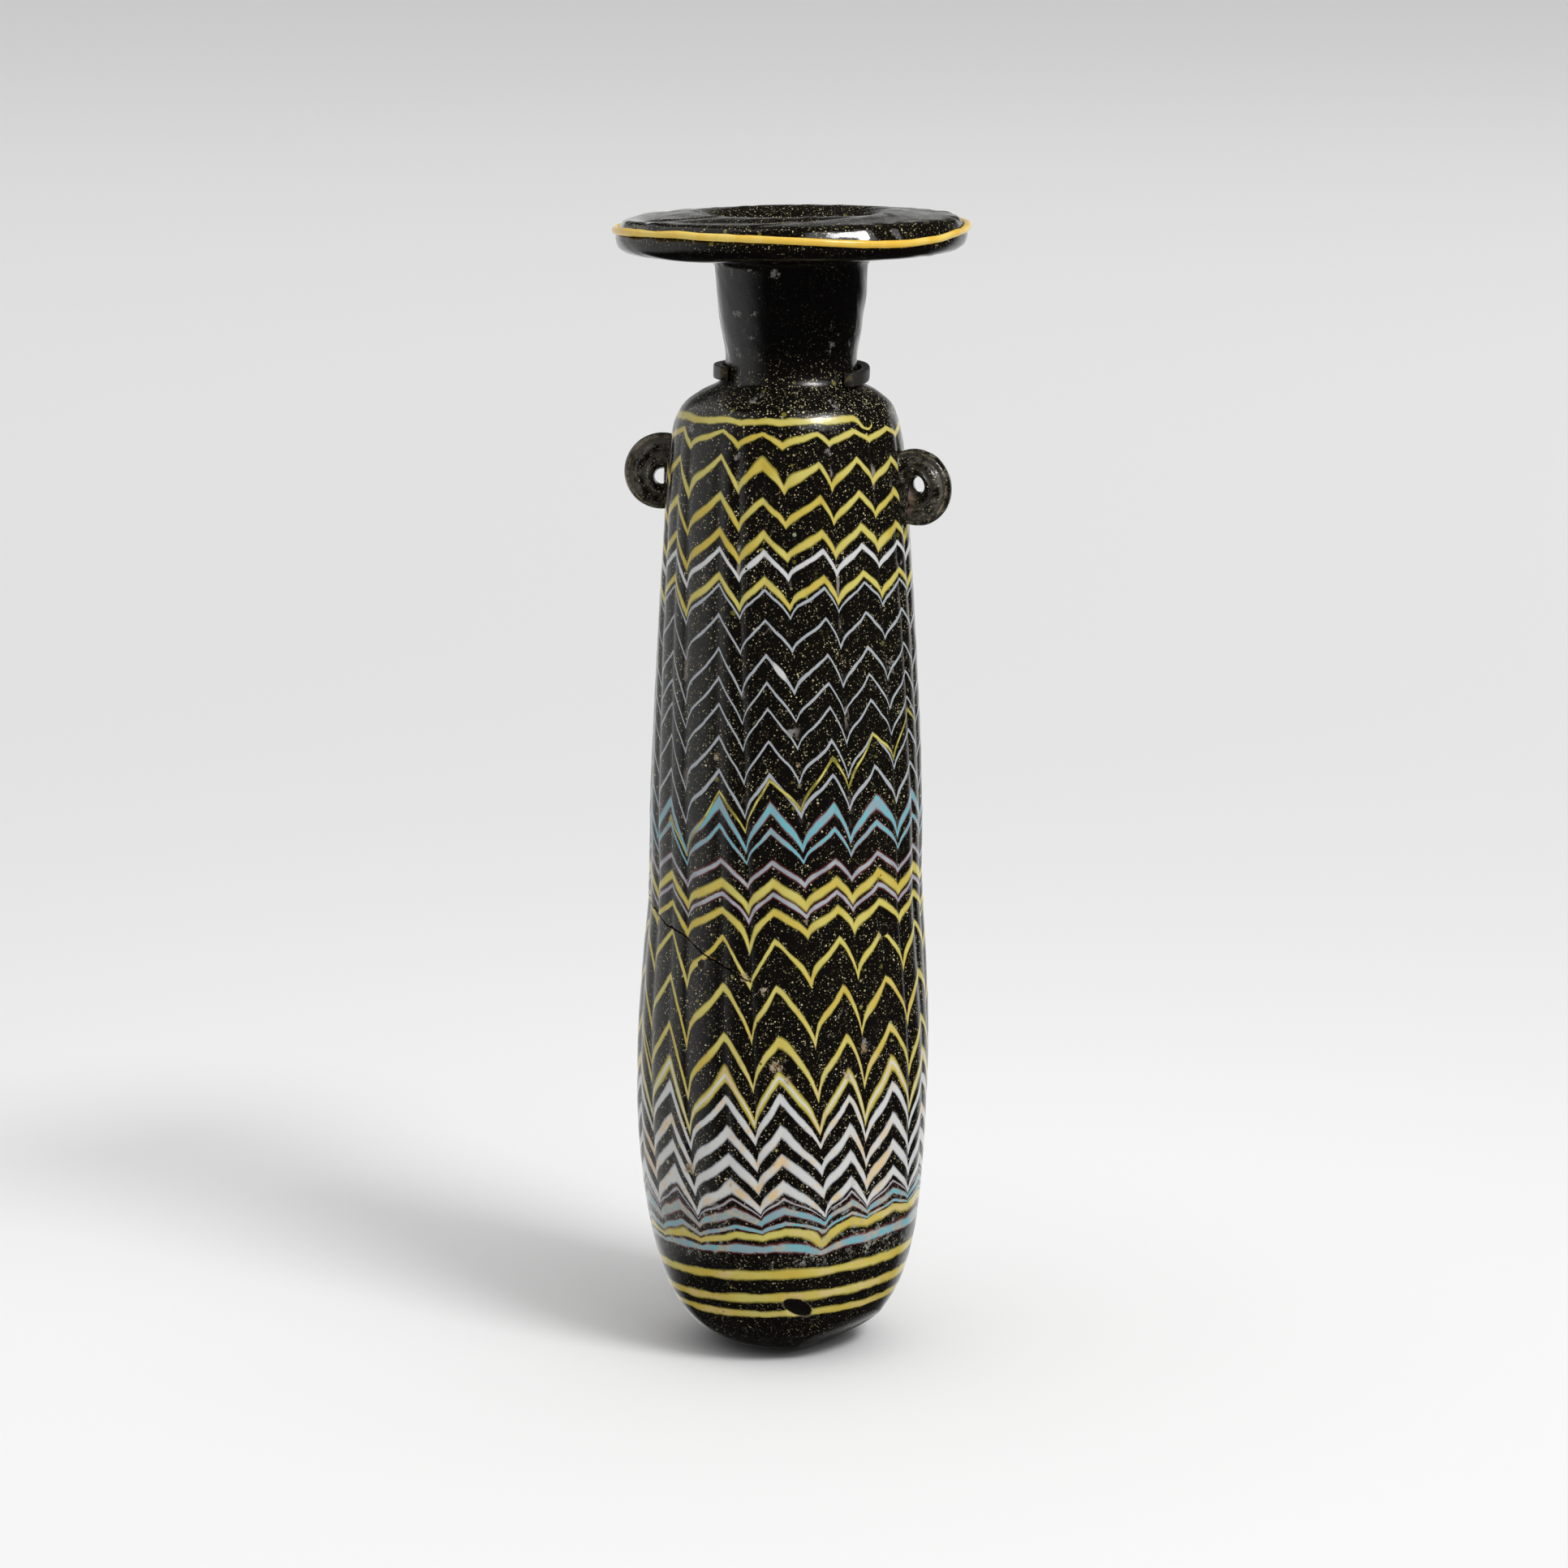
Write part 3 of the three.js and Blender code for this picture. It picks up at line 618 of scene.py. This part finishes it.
class Finish:
    """A material and the few kinds of node that its surface is worked out with."""

    def __init__(self, name):
        self.material = bpy.data.materials.new(name)
        self.material.use_nodes = True
        self.tree = self.material.node_tree
        self.shader = self.tree.nodes["Principled BSDF"]
        self.where = self.node("ShaderNodeTexCoord").outputs["Object"]
        split = self.node("ShaderNodeSeparateXYZ")
        self.feed(split.inputs[0], self.where)
        self.height = self.math("DIVIDE", split.outputs["Z"], MM)

    def feed(self, socket, value):
        """Links an output to a socket, or sets the socket to a number or colour."""
        if isinstance(value, bpy.types.NodeSocket):
            self.tree.links.new(value, socket)
        else:
            socket.default_value = value

    def node(self, kind, **settings):
        """A new node with its settings."""
        made = self.tree.nodes.new(kind)
        for key, value in settings.items():
            setattr(made, key, value)
        return made

    def math(self, operation, *values):
        """One step of arithmetic on values or outputs."""
        made = self.node("ShaderNodeMath", operation=operation)
        for socket, value in zip(made.inputs, values):
            self.feed(socket, value)
        return made.outputs[0]

    def times(self, first, second):
        """Product of two values."""
        return self.math("MULTIPLY", first, second)

    def band(self, low, full, falling, gone):
        """1 at heights between full and falling, 0 below low and above gone, smooth between."""
        return self.times(self.step(self.height, low, full), self.step(self.height, gone, falling))

    def step(self, value, low, high):
        """0 up to low, 1 from high on, smooth between."""
        made = self.node("ShaderNodeMapRange", interpolation_type="SMOOTHSTEP")
        for key, given in (("Value", value), ("From Min", low), ("From Max", high)):
            self.feed(made.inputs[key], given)
        return made.outputs[0]

    def mix(self, share, first, second):
        """First colour turning into the second as share goes from 0 to 1."""
        made = self.node("ShaderNodeMix", data_type="RGBA")
        for at, value in ((0, share), (6, first), (7, second)):
            self.feed(made.inputs[at], value if isinstance(value, (bpy.types.NodeSocket, float, int)) else (*value, 1))
        return made.outputs[2]

    def noise(self, size, detail=2.0, rough=0.55, stretch=None):
        """Smooth noise whose features are about size millimetres."""
        made = self.node("ShaderNodeTexNoise")
        self.feed(made.inputs["Vector"], self.stretched(stretch) if stretch else self.where)
        for key, value in (("Scale", 1 / (size * MM)), ("Detail", detail), ("Roughness", rough)):
            made.inputs[key].default_value = value
        return made.outputs["Fac"]

    def stretched(self, factors):
        """Place on the object, scaled along each axis."""
        made = self.node("ShaderNodeMapping")
        self.feed(made.inputs["Vector"], self.where)
        made.inputs["Scale"].default_value = factors
        return made.outputs["Vector"]

    def cells(self, size):
        """Scattered points about size millimetres apart: distance to the nearest, and three random numbers for it."""
        made = self.node("ShaderNodeTexVoronoi")
        self.feed(made.inputs["Vector"], self.where)
        made.inputs["Scale"].default_value = 1 / (size * MM)
        split = self.node("ShaderNodeSeparateColor")
        self.feed(split.inputs[0], made.outputs["Color"])
        return made.outputs["Distance"], split.outputs

    def value(self, name):
        """A value kept on the mesh, 0 where the mesh has none of that name."""
        return self.node("ShaderNodeAttribute", attribute_name=name).outputs["Fac"]

    def bump(self, height, strength, distance):
        """Fine relief: height 1 stands distance millimetres up, softened by strength."""
        made = self.node("ShaderNodeBump")
        made.inputs["Strength"].default_value = strength
        made.inputs["Distance"].default_value = distance * MM
        self.feed(made.inputs["Height"], height)
        self.feed(self.shader.inputs["Normal"], made.outputs["Normal"])

    def scatter(self, size, kept, smallest, spread):
        """Specks: the kept share of scattered points, each a dot of its own size. Gives dot and a random number."""
        distance, random = self.cells(size)
        reach = self.math("MULTIPLY_ADD", random[0], spread, smallest)
        dot = self.step(distance, reach, self.times(reach, 0.55))
        return self.times(dot, self.math("GREATER_THAN", random[1], 1 - kept)), random[2]


GLASS_DEEP = (0.0028, 0.0024, 0.002)
GLASS_WARM = (0.006, 0.0047, 0.0034)
GLASS_NECK = (0.0022, 0.0016, 0.0016)
SPECK_OLIVE = (0.055, 0.043, 0.012)
SPECK_CREAM = (0.84, 0.75, 0.45)
BLOB_OLIVE = (0.16, 0.145, 0.02)
BLOB_PALE = (0.33, 0.36, 0.24)
FURROW_CRUST = (0.3, 0.26, 0.225)


def dark_glass(finish, share=1.0):
    """Near-black glass full of grit: colour and roughness before any thread or weathering.

    Three sizes of speck lie in it, crowded in some places and few on the neck, most of them dim and a few bright.
    """
    neck = finish.band(145.5, 151.5, 165, 166.5)
    low = finish.step(finish.height, 24, 14)
    colour = finish.mix(finish.noise(14, 3), GLASS_DEEP, GLASS_WARM)
    colour = finish.mix(neck, colour, GLASS_NECK)
    crowd = finish.math("MULTIPLY_ADD", finish.step(finish.noise(6, 4, 0.6), 0.3, 0.66), 0.75 * share, 0.25 * share)
    crowd = finish.math("MAXIMUM", crowd, finish.times(finish.step(finish.height, 166, 167), 0.85))
    shoulder = finish.band(138, 141, 145, 148)
    crowd = finish.math("MAXIMUM", crowd, finish.times(shoulder, share))
    crowd = finish.times(crowd, finish.math("MULTIPLY_ADD", neck, -0.93, 1.0))
    crowd = finish.times(crowd, finish.math("MULTIPLY_ADD", low, -0.5, 1.0))
    blob, tone = finish.scatter(2.4, 0.5, 0.06, 0.15)
    pale = finish.step(tone, 0.7, 0.8)
    blob = finish.times(blob, crowd)
    colour = finish.mix(blob, colour, finish.mix(pale, BLOB_OLIVE, BLOB_PALE))
    dust, tone = finish.scatter(0.26, 0.54, 0.16, 0.4)
    dust = finish.times(dust, crowd)
    bright = finish.math("POWER", tone, finish.math("MULTIPLY_ADD", shoulder, -1.7, 2.6))
    colour = finish.mix(dust, colour, finish.mix(bright, SPECK_OLIVE, SPECK_CREAM))
    grit, tone = finish.scatter(0.7, 0.3, 0.1, 0.2)
    grit = finish.times(grit, crowd)
    bright = finish.math("POWER", tone, finish.math("MULTIPLY_ADD", shoulder, -0.7, 1.1))
    colour = finish.mix(grit, colour, finish.mix(bright, SPECK_OLIVE, SPECK_CREAM))
    rough = finish.math("MULTIPLY_ADD", finish.step(finish.noise(5, 4), 0.4, 0.75), 0.16, 0.1)
    rough = finish.times(rough, finish.math("MULTIPLY_ADD", finish.step(finish.height, 166, 167), -0.4, 1.0))
    rough = finish.math("MULTIPLY_ADD", finish.step(finish.height, 168.6, 169.1), 0.16, rough)
    return colour, rough, grit


def glass_settings(finish):
    """How strongly glass mirrors: the same all over the surface."""
    finish.shader.inputs["IOR"].default_value = 1.5
    finish.shader.inputs["Specular IOR Level"].default_value = 0.5


YELLOW = (0.555, 0.485, 0.13)
YELLOW_DEEP = (0.535, 0.4, 0.065)
YELLOW_EDGE = (0.2, 0.175, 0.03)
WHITE = (0.575, 0.58, 0.565)
WHITE_EDGE = (0.24, 0.25, 0.28)
HAIR_WHITE = (0.36, 0.385, 0.41)
TURQUOISE = (0.15, 0.4, 0.455)
LAVENDER = (0.28, 0.31, 0.345)
RED_LINE = (0.1, 0.02, 0.02)
BEIGE = (0.64, 0.48, 0.275)
RUST = (0.28, 0.16, 0.05)
CRUST = (0.46, 0.39, 0.27)
GREY_CRUST = (0.27, 0.33, 0.35)
FILM = (0.24, 0.225, 0.21)
HANDLE_FILM = (0.27, 0.25, 0.21)
HANDLE_DIRT = (0.31, 0.215, 0.165)
HANDLE_EDGE_TAN_AND_SHEEN = (0.31, 0.245, 0.14)


def threaded_glass():
    """Dark glass with its combed threads.

    A thread shows where the wound height lies within half a width of the thread's own. Each colour takes the
    nearest of its threads, as a distance in half widths, so edges can be soft or outlined.
    """
    finish = Finish("threaded_glass")
    colour, rough, grit = dark_glass(finish)
    wobble = finish.math("MULTIPLY_ADD", finish.noise(2.6, 2), 0.5, -0.25)
    shiver = finish.math("MULTIPLY_ADD", finish.noise(0.6, 2), 0.16, -0.08)
    height = finish.math("ADD", finish.value("winding"), finish.math("ADD", wobble, shiver))
    width = finish.math("MULTIPLY_ADD", finish.noise(6, 3), 1.3, 0.38)
    width = finish.times(width, finish.value("swell"))

    def nearest(threads):
        """Distance to the nearest of these threads, in half widths."""
        near = 50.0
        for at, half in threads:
            offset = finish.math("MULTIPLY_ADD", height, 1 / half, -at / half)
            near = finish.math("MINIMUM", finish.math("ABSOLUTE", offset), near)
        return finish.math("DIVIDE", near, width)

    streak = finish.noise(0.8, 6, 0.75, (1, 1, 0.3))
    streak = finish.step(finish.times(finish.value("furrow"), streak), 0.28, 0.42)
    streak = finish.times(streak, finish.step(finish.noise(5, 3), 0.54, 0.68))
    streak = finish.times(streak, finish.step(finish.height, 70, 110))
    colour = finish.mix(finish.times(streak, 0.75), colour, FURROW_CRUST)

    worn = finish.noise(1.1, 4, 0.7)
    lower = finish.step(finish.value("winding"), 64, 46)
    aged = finish.times(lower, finish.step(finish.noise(7, 5, 0.7), 0.48, 0.64))
    stained = finish.times(lower, finish.step(finish.noise(4, 5, 0.7), 0.6, 0.72))
    covered = 0.0
    lavender, turquoise = nearest(LAVENDER_THREADS), nearest(TURQUOISE_THREADS)
    hair, white, yellow = nearest(HAIR_THREADS), nearest(WHITE_THREADS), nearest(YELLOW_THREADS)
    core = nearest(CORE_THREADS)
    stray = finish.math("ADD", finish.value("stray"), wobble)
    stray = finish.math("DIVIDE", finish.math("ABSOLUTE", stray), finish.times(width, 0.26))
    mottle = finish.step(finish.noise(3, 4, 0.6), 0.42, 0.62)
    smeared = finish.band(16, 18, 25, 29)
    _, piece = finish.cells(1.5)
    broken = finish.math("ADD", finish.times(piece[0], 0.35), finish.noise(10, 5, 0.65))
    broken = finish.times(finish.step(broken, 0.64, 0.74), smeared)
    crusted = finish.mix(finish.step(finish.noise(0.7, 6, 0.8), 0.4, 0.65), GREY_CRUST, CRUST)
    blue = finish.mix(finish.times(mottle, 0.7), TURQUOISE, LAVENDER)
    thick = finish.step(finish.value("swell"), 1.3, 1.7)
    gold = finish.mix(finish.step(finish.noise(9, 3), 0.4, 0.65), YELLOW, YELLOW_DEEP)
    tints = [
        (lavender, RED_LINE, finish.mix(mottle, LAVENDER, HAIR_WHITE), 1.7),
        (turquoise, RED_LINE, finish.mix(broken, blue, crusted), 1.45),
        (hair, GLASS_WARM, finish.mix(thick, HAIR_WHITE, WHITE), 1.4),
        (white, WHITE_EDGE, finish.mix(aged, WHITE, BEIGE), 1.3),
        (stray, YELLOW_EDGE, finish.mix(mottle, YELLOW, YELLOW_EDGE), 1.5),
        (yellow, YELLOW_EDGE, finish.mix(finish.times(aged, 0.5), gold, BEIGE), 1.4),
        (core, gold, finish.mix(aged, WHITE, BEIGE), 1.4),
    ]
    for near, edge, inner, outer in tints:
        rim = finish.step(near, outer, outer * 0.75)
        inside = finish.step(near, 1.15, 0.6)
        colour = finish.mix(rim, colour, finish.mix(inside, edge, inner))
        covered = finish.math("MAXIMUM", rim, covered)
    stain = finish.times(finish.times(stained, covered), 0.45)
    colour = finish.mix(stain, colour, RUST)
    lost = finish.times(covered, finish.step(worn, 0.7, 0.74))
    colour = finish.mix(lost, colour, SPECK_OLIVE)

    crust = finish.times(finish.step(finish.noise(0.9, 6, 0.8), 0.53, 0.61), smeared)
    crust = finish.times(crust, finish.step(finish.noise(9, 3), 0.42, 0.56))
    colour = finish.mix(finish.times(crust, 0.75), colour, crusted)
    ragged = finish.math("MULTIPLY_ADD", finish.noise(0.7, 6, 0.8), 2.4, -1.2)
    flake = finish.step(finish.math("ADD", finish.value("flake"), ragged), 0.72, 0.85)
    flake = finish.times(flake, finish.step(finish.value("flake"), 0.05, 0.3))
    crumbs = finish.mix(finish.step(finish.noise(0.5, 4, 0.7), 0.42, 0.6), RUST, CRUST)
    colour = finish.mix(finish.times(flake, 0.75), colour, crumbs)
    patch = finish.math("MULTIPLY_ADD", finish.noise(1.5, 7, 0.72), 3.0, -1.5)
    film = finish.math("MULTIPLY_ADD", finish.value("film"), 0.55, patch)
    film = finish.times(finish.step(film, 0.5, 0.72), finish.step(finish.value("film"), 0.03, 0.2))
    colour = finish.mix(finish.times(film, 0.7), colour, FILM)
    hole, _ = finish.scatter(3.4, 0.4, 0.05, 0.06)
    colour = finish.mix(finish.times(hole, covered), colour, GLASS_NECK)
    jag = finish.math("MULTIPLY_ADD", finish.noise(1.5, 5, 0.7), 1.2, -0.6)
    split = finish.math("ADD", finish.value("crack"), jag)
    shown = finish.step(finish.value("crack_shown"), 0.1, 0.4)
    crack = finish.times(finish.step(finish.math("ABSOLUTE", split), 0.2, 0.1), shown)
    # Painted highlight: a broken brownish line along the upper lip of the crack.
    crack_lip_highlight = finish.step(finish.math("ABSOLUTE", finish.math("SUBTRACT", split, 0.24)), 0.16, 0.06)
    crack_lip_highlight = finish.times(finish.times(crack_lip_highlight, shown), finish.step(worn, 0.45, 0.6))
    colour = finish.mix(finish.times(crack_lip_highlight, 0.45), colour, RUST)
    # A pale ring round each burst bubble in crust colour: partly crust, partly a painted highlight on the pit's lip.
    lip = finish.times(finish.step(finish.value("pit"), 0.2, 0.27), finish.step(worn, 0.35, 0.5))
    colour = finish.mix(finish.times(lip, 0.2), colour, CRUST)
    colour = finish.mix(finish.step(finish.value("pit"), 0.26, 0.36), colour, GLASS_WARM)
    colour = finish.mix(crack, colour, GLASS_NECK)

    finish.feed(finish.shader.inputs["Base Color"], colour)
    dusty = finish.band(140, 144, 146, 150)
    dull = finish.math("MAXIMUM", finish.math("MAXIMUM", film, flake), finish.step(finish.height, 5, 1))
    dull = finish.math("MAXIMUM", dull, finish.math("MAXIMUM", streak, finish.times(dusty, 0.35)))
    finish.feed(finish.shader.inputs["Roughness"], finish.math("MULTIPLY_ADD", dull, 0.4, rough))
    relief = finish.math("MULTIPLY_ADD", finish.noise(0.9, 4, 0.6), 0.7, finish.times(covered, 0.25))
    neck = finish.band(146, 150, 162, 164)
    wrinkle = finish.times(finish.noise(1.8, 5, 0.6, (1, 1, 0.45)), neck)
    relief = finish.math("MULTIPLY_ADD", wrinkle, 2.0, relief)
    relief = finish.math("ADD", relief, finish.times(finish.math("ADD", flake, film), 0.5))
    relief = finish.math("SUBTRACT", relief, finish.math("ADD", crack, finish.times(grit, 0.35)))
    finish.bump(relief, 0.55, 0.05)
    glass_settings(finish)
    finish.feed(finish.shader.inputs["Specular IOR Level"], finish.math("MULTIPLY_ADD", crack, -0.5, 0.5))
    return finish.material


def plain_glass():
    """The same dark glass on the handles, glossy, with thin films, a tan outer ridge that is partly a painted
    highlight, and brown dirt in the scoop.
    """
    finish = Finish("plain_glass")
    colour, rough, grit = dark_glass(finish, 0.9)
    rough = finish.times(rough, 0.6)
    held = finish.times(finish.value("groove"), 0.16)
    film = finish.step(finish.math("ADD", finish.noise(2.2, 7, 0.75), held), 0.45, 0.68)
    colour = finish.mix(finish.times(film, 0.4), colour, HANDLE_FILM)
    # Tan along the outer ridge of the ring: partly its own colour, partly a painted highlight on the ridge.
    rubbed = finish.times(finish.value("edge"), finish.step(finish.noise(1.3, 5, 0.7), 0.44, 0.6))
    colour = finish.mix(finish.times(rubbed, 0.6), colour, HANDLE_EDGE_TAN_AND_SHEEN)
    dirt = finish.step(finish.times(finish.value("scoop"), finish.noise(0.8, 5, 0.7)), 0.06, 0.34)
    colour = finish.mix(dirt, colour, HANDLE_DIRT)
    film = finish.math("MAXIMUM", film, dirt)
    finish.feed(finish.shader.inputs["Base Color"], colour)
    finish.feed(finish.shader.inputs["Roughness"], finish.math("MULTIPLY_ADD", film, 0.1, rough))
    relief = finish.math("MULTIPLY_ADD", finish.noise(1.6, 3, 0.5), 2.2, finish.noise(0.7, 4, 0.6))
    finish.bump(finish.math("SUBTRACT", relief, finish.times(grit, 0.4)), 0.7, 0.1)
    glass_settings(finish)
    return finish.material


TRAIL_YELLOW = (0.74, 0.45, 0.05)
TRAIL_PALE = (0.78, 0.58, 0.14)
TRAIL_BROWN = (0.3, 0.12, 0.02)


def trail_glass():
    """Opaque mustard glass of the rim thread, browner in streaks and where dirt holds."""
    finish = Finish("trail_glass")
    colour = finish.mix(finish.step(finish.noise(5, 3), 0.35, 0.7), TRAIL_YELLOW, TRAIL_PALE)
    dirt = finish.step(finish.noise(2.5, 5, 0.7), 0.62, 0.76)
    colour = finish.mix(finish.times(dirt, 0.7), colour, TRAIL_BROWN)
    finish.feed(finish.shader.inputs["Base Color"], colour)
    finish.feed(finish.shader.inputs["Roughness"], finish.math("MULTIPLY_ADD", dirt, 0.3, 0.22))
    finish.bump(finish.noise(0.9, 4), 0.5, 0.06)
    return finish.material


PAINT = (0.012, 0.011, 0.01)
PAINT_DUSTY = (0.03, 0.028, 0.026)
BRASS = (0.5, 0.36, 0.14)


def blackened_brass():
    """Black paint on brass, dusty in patches, rubbed through to bright metal at cut ends and scuffs."""
    finish = Finish("blackened_brass")
    paint = finish.mix(finish.step(finish.noise(3, 5, 0.7), 0.4, 0.7), PAINT, PAINT_DUSTY)
    rubbed = finish.times(finish.value("worn"), finish.step(finish.noise(0.7, 4, 0.7), 0.42, 0.6))
    scuffs = finish.step(finish.noise(2.2, 6, 0.75, (1, 1, 0.25)), 0.72, 0.78)
    bare = finish.times(finish.math("MAXIMUM", rubbed, scuffs), 0.35)
    finish.feed(finish.shader.inputs["Base Color"], finish.mix(bare, paint, BRASS))
    finish.feed(finish.shader.inputs["Metallic"], bare)
    finish.feed(finish.shader.inputs["Roughness"], finish.math("MULTIPLY_ADD", finish.noise(1.5, 4), 0.3, 0.3))
    finish.bump(finish.noise(0.5, 5, 0.7), 0.4, 0.03)
    return finish.material


def camera_at_photo():
    """Camera in front of the bottle, level across, tipped down, with the photo's angle of view."""
    camera = bpy.data.objects.new("camera", bpy.data.cameras.new("camera"))
    camera.data.sensor_width = 36
    camera.data.lens = 36 * CAMERA_FOCAL_SHARE
    camera.data.clip_end = 60
    camera.location = (0, -CAMERA_BACK * MM, CAMERA_UP * MM)
    camera.rotation_euler = (math.radians(90 - CAMERA_PITCH), 0, 0)
    bpy.context.scene.collection.objects.link(camera)
    bpy.context.scene.camera = camera


FLOOR_RADIUS = 14000
# Floor colours hold painted light falloff: bright near the bottle, greyer at middle distance, paler far off.
FLOOR_NEAR = (0.768, 0.768, 0.768)
FLOOR_MIDDLE = (0.675, 0.675, 0.675)
FLOOR_FAR = (0.81, 0.81, 0.81)


def pale_floor():
    """A round pale floor with painted light falloff, a little greyer at middle distance: rings whose radius grows by
    equal ratios.
    """
    ring = np.concatenate([[0], np.geomspace(20, FLOOR_RADIUS, 40)])[:, None]
    turn = np.radians(np.linspace(0, 360, 96, endpoint=False))[None, :]
    points = np.stack([ring * np.cos(turn), ring * np.sin(turn), 0 * ring * turn], axis=-1)
    floor = mesh_piece("floor", points, start_point=True, flip=True)
    finish = Finish("floor_paper")
    length = finish.node("ShaderNodeVectorMath", operation="LENGTH")
    finish.feed(length.inputs[0], finish.where)
    reach = finish.math("LOGARITHM", length.outputs["Value"], 10.0)
    # Painted shading: the colour steps from near to middle to far with distance from the bottle.
    shade = finish.mix(finish.step(reach, -1.0, -0.3), FLOOR_NEAR, FLOOR_MIDDLE)
    shade = finish.mix(finish.step(reach, -0.3, 0.6), shade, FLOOR_FAR)
    finish.feed(finish.shader.inputs["Base Color"], shade)
    finish.shader.inputs["Roughness"].default_value = 0.9
    finish.shader.inputs["Specular IOR Level"].default_value = 0.1
    floor.data.materials.append(finish.material)
    return floor


def studio():
    """A soft key with a brighter middle from the right front, and a pale surround, brighter overhead.

    In reflections the surround is pale behind the bottle and on a card to its left, and dark elsewhere.
    """
    bearing, rise = math.radians(KEY_BEARING), math.radians(KEY_RISE)
    lamps = [
        ("key", KEY_SIZE, KEY_WATTS, KEY_DISTANCE),
        ("key_middle", CORE_SIZE, CORE_WATTS, KEY_DISTANCE - CORE_FORWARD),
    ]
    for name, size, watts, distance in lamps:
        lamp = bpy.data.objects.new(name, bpy.data.lights.new(name, "AREA"))
        lamp.data.shape = "ELLIPSE"
        lamp.data.size, lamp.data.size_y = size
        lamp.data.energy = watts
        flat = distance * math.cos(rise)
        lamp.location = (flat * math.sin(bearing), -flat * math.cos(bearing), distance * math.sin(rise))
        lamp.rotation_euler = (math.pi / 2 - rise, 0, bearing)
        bpy.context.scene.collection.objects.link(lamp)

    world = bpy.data.worlds.new("studio")
    world.use_nodes = True
    bpy.context.scene.world = world
    tree = world.node_tree
    tree.nodes.clear()

    def node(kind, **settings):
        """A new node of the surround with its settings."""
        made = tree.nodes.new(kind)
        for name, value in settings.items():
            setattr(made, name, value)
        return made

    def math_of(operation, *values):
        """One step of arithmetic on values or outputs."""
        made = node("ShaderNodeMath", operation=operation)
        for socket, value in zip(made.inputs, values):
            if isinstance(value, bpy.types.NodeSocket):
                tree.links.new(value, socket)
            else:
                socket.default_value = value
        return made.outputs[0]

    def step_of(value, low, high):
        """0 at low and 1 at high, smooth between."""
        made = node("ShaderNodeMapRange", interpolation_type="SMOOTHSTEP")
        tree.links.new(value, made.inputs["Value"])
        made.inputs["From Min"].default_value = low
        made.inputs["From Max"].default_value = high
        return made.outputs[0]

    split = node("ShaderNodeSeparateXYZ")
    tree.links.new(node("ShaderNodeTexCoord").outputs["Generated"], split.inputs[0])
    azimuth = math_of("ARCTAN2", split.outputs["X"], math_of("MULTIPLY", split.outputs["Y"], -1.0))
    around = math_of("ABSOLUTE", azimuth)
    above_foot = step_of(split.outputs["Z"], *SURROUND_FOOT)
    behind = math_of("MULTIPLY", step_of(around, *np.radians(BEHIND_BEARINGS)), above_foot)
    behind = math_of("MULTIPLY", behind, step_of(split.outputs["Z"], *BEHIND_TOP))
    card = math_of("MULTIPLY", step_of(azimuth, *np.radians(CARD_FRONT)), step_of(around, *np.radians(CARD_BACK)))
    card = math_of("MULTIPLY", card, above_foot)
    shown = math_of("MAXIMUM", math_of("MULTIPLY", behind, BEHIND_SHINE), math_of("MULTIPLY", card, CARD_SHINE))
    shown = math_of("ADD", shown, SURROUND_SHINE)
    rays = node("ShaderNodeLightPath")
    overhead = math_of("POWER", math_of("MAXIMUM", split.outputs["Z"], 0.0), 2.0)
    even = math_of("MULTIPLY_ADD", overhead, AMBIENT_OVERHEAD, AMBIENT_SIDES)
    soft = math_of("MULTIPLY_ADD", rays.outputs["Is Glossy Ray"], math_of("SUBTRACT", shown, even), even)
    grey = math_of("MULTIPLY_ADD", rays.outputs["Is Camera Ray"], math_of("SUBTRACT", BACKDROP, soft), soft)
    background = node("ShaderNodeBackground")
    tree.links.new(grey, background.inputs["Color"])
    tree.links.new(background.outputs[0], node("ShaderNodeOutputWorld").inputs[0])
    bpy.context.scene.view_settings.view_transform = "Standard"


camera_at_photo()
glass, plain, trail, brass = threaded_glass(), plain_glass(), trail_glass(), blackened_brass()
PIECES = [
    (glass_vessel(), "bottle", "threaded_glass", glass),
    (rim_trail(), "bottle", "threaded_glass", trail),
    (ring_handle("left_ring", LEFT_RING), "bottle", "threaded_glass", plain),
    (ring_handle("right_ring", RIGHT_RING), "bottle", "threaded_glass", plain),
    (press_pad("left_pad", LEFT_RING), "bottle", "threaded_glass", plain),
    (press_pad("right_pad", RIGHT_RING), "bottle", "threaded_glass", plain),
    (clip_band(), "neck_clip", "blackened_brass", brass),
    (rod_bar(), "stand_rod", "blackened_brass", brass),
    (foot_plate(), "stand_foot", "blackened_brass", brass),
]
for piece, node, slot, material in PIECES:
    piece.data.materials.append(material)
    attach(piece, "root")
    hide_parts(node)
pale_floor().visible_glossy = False
studio()
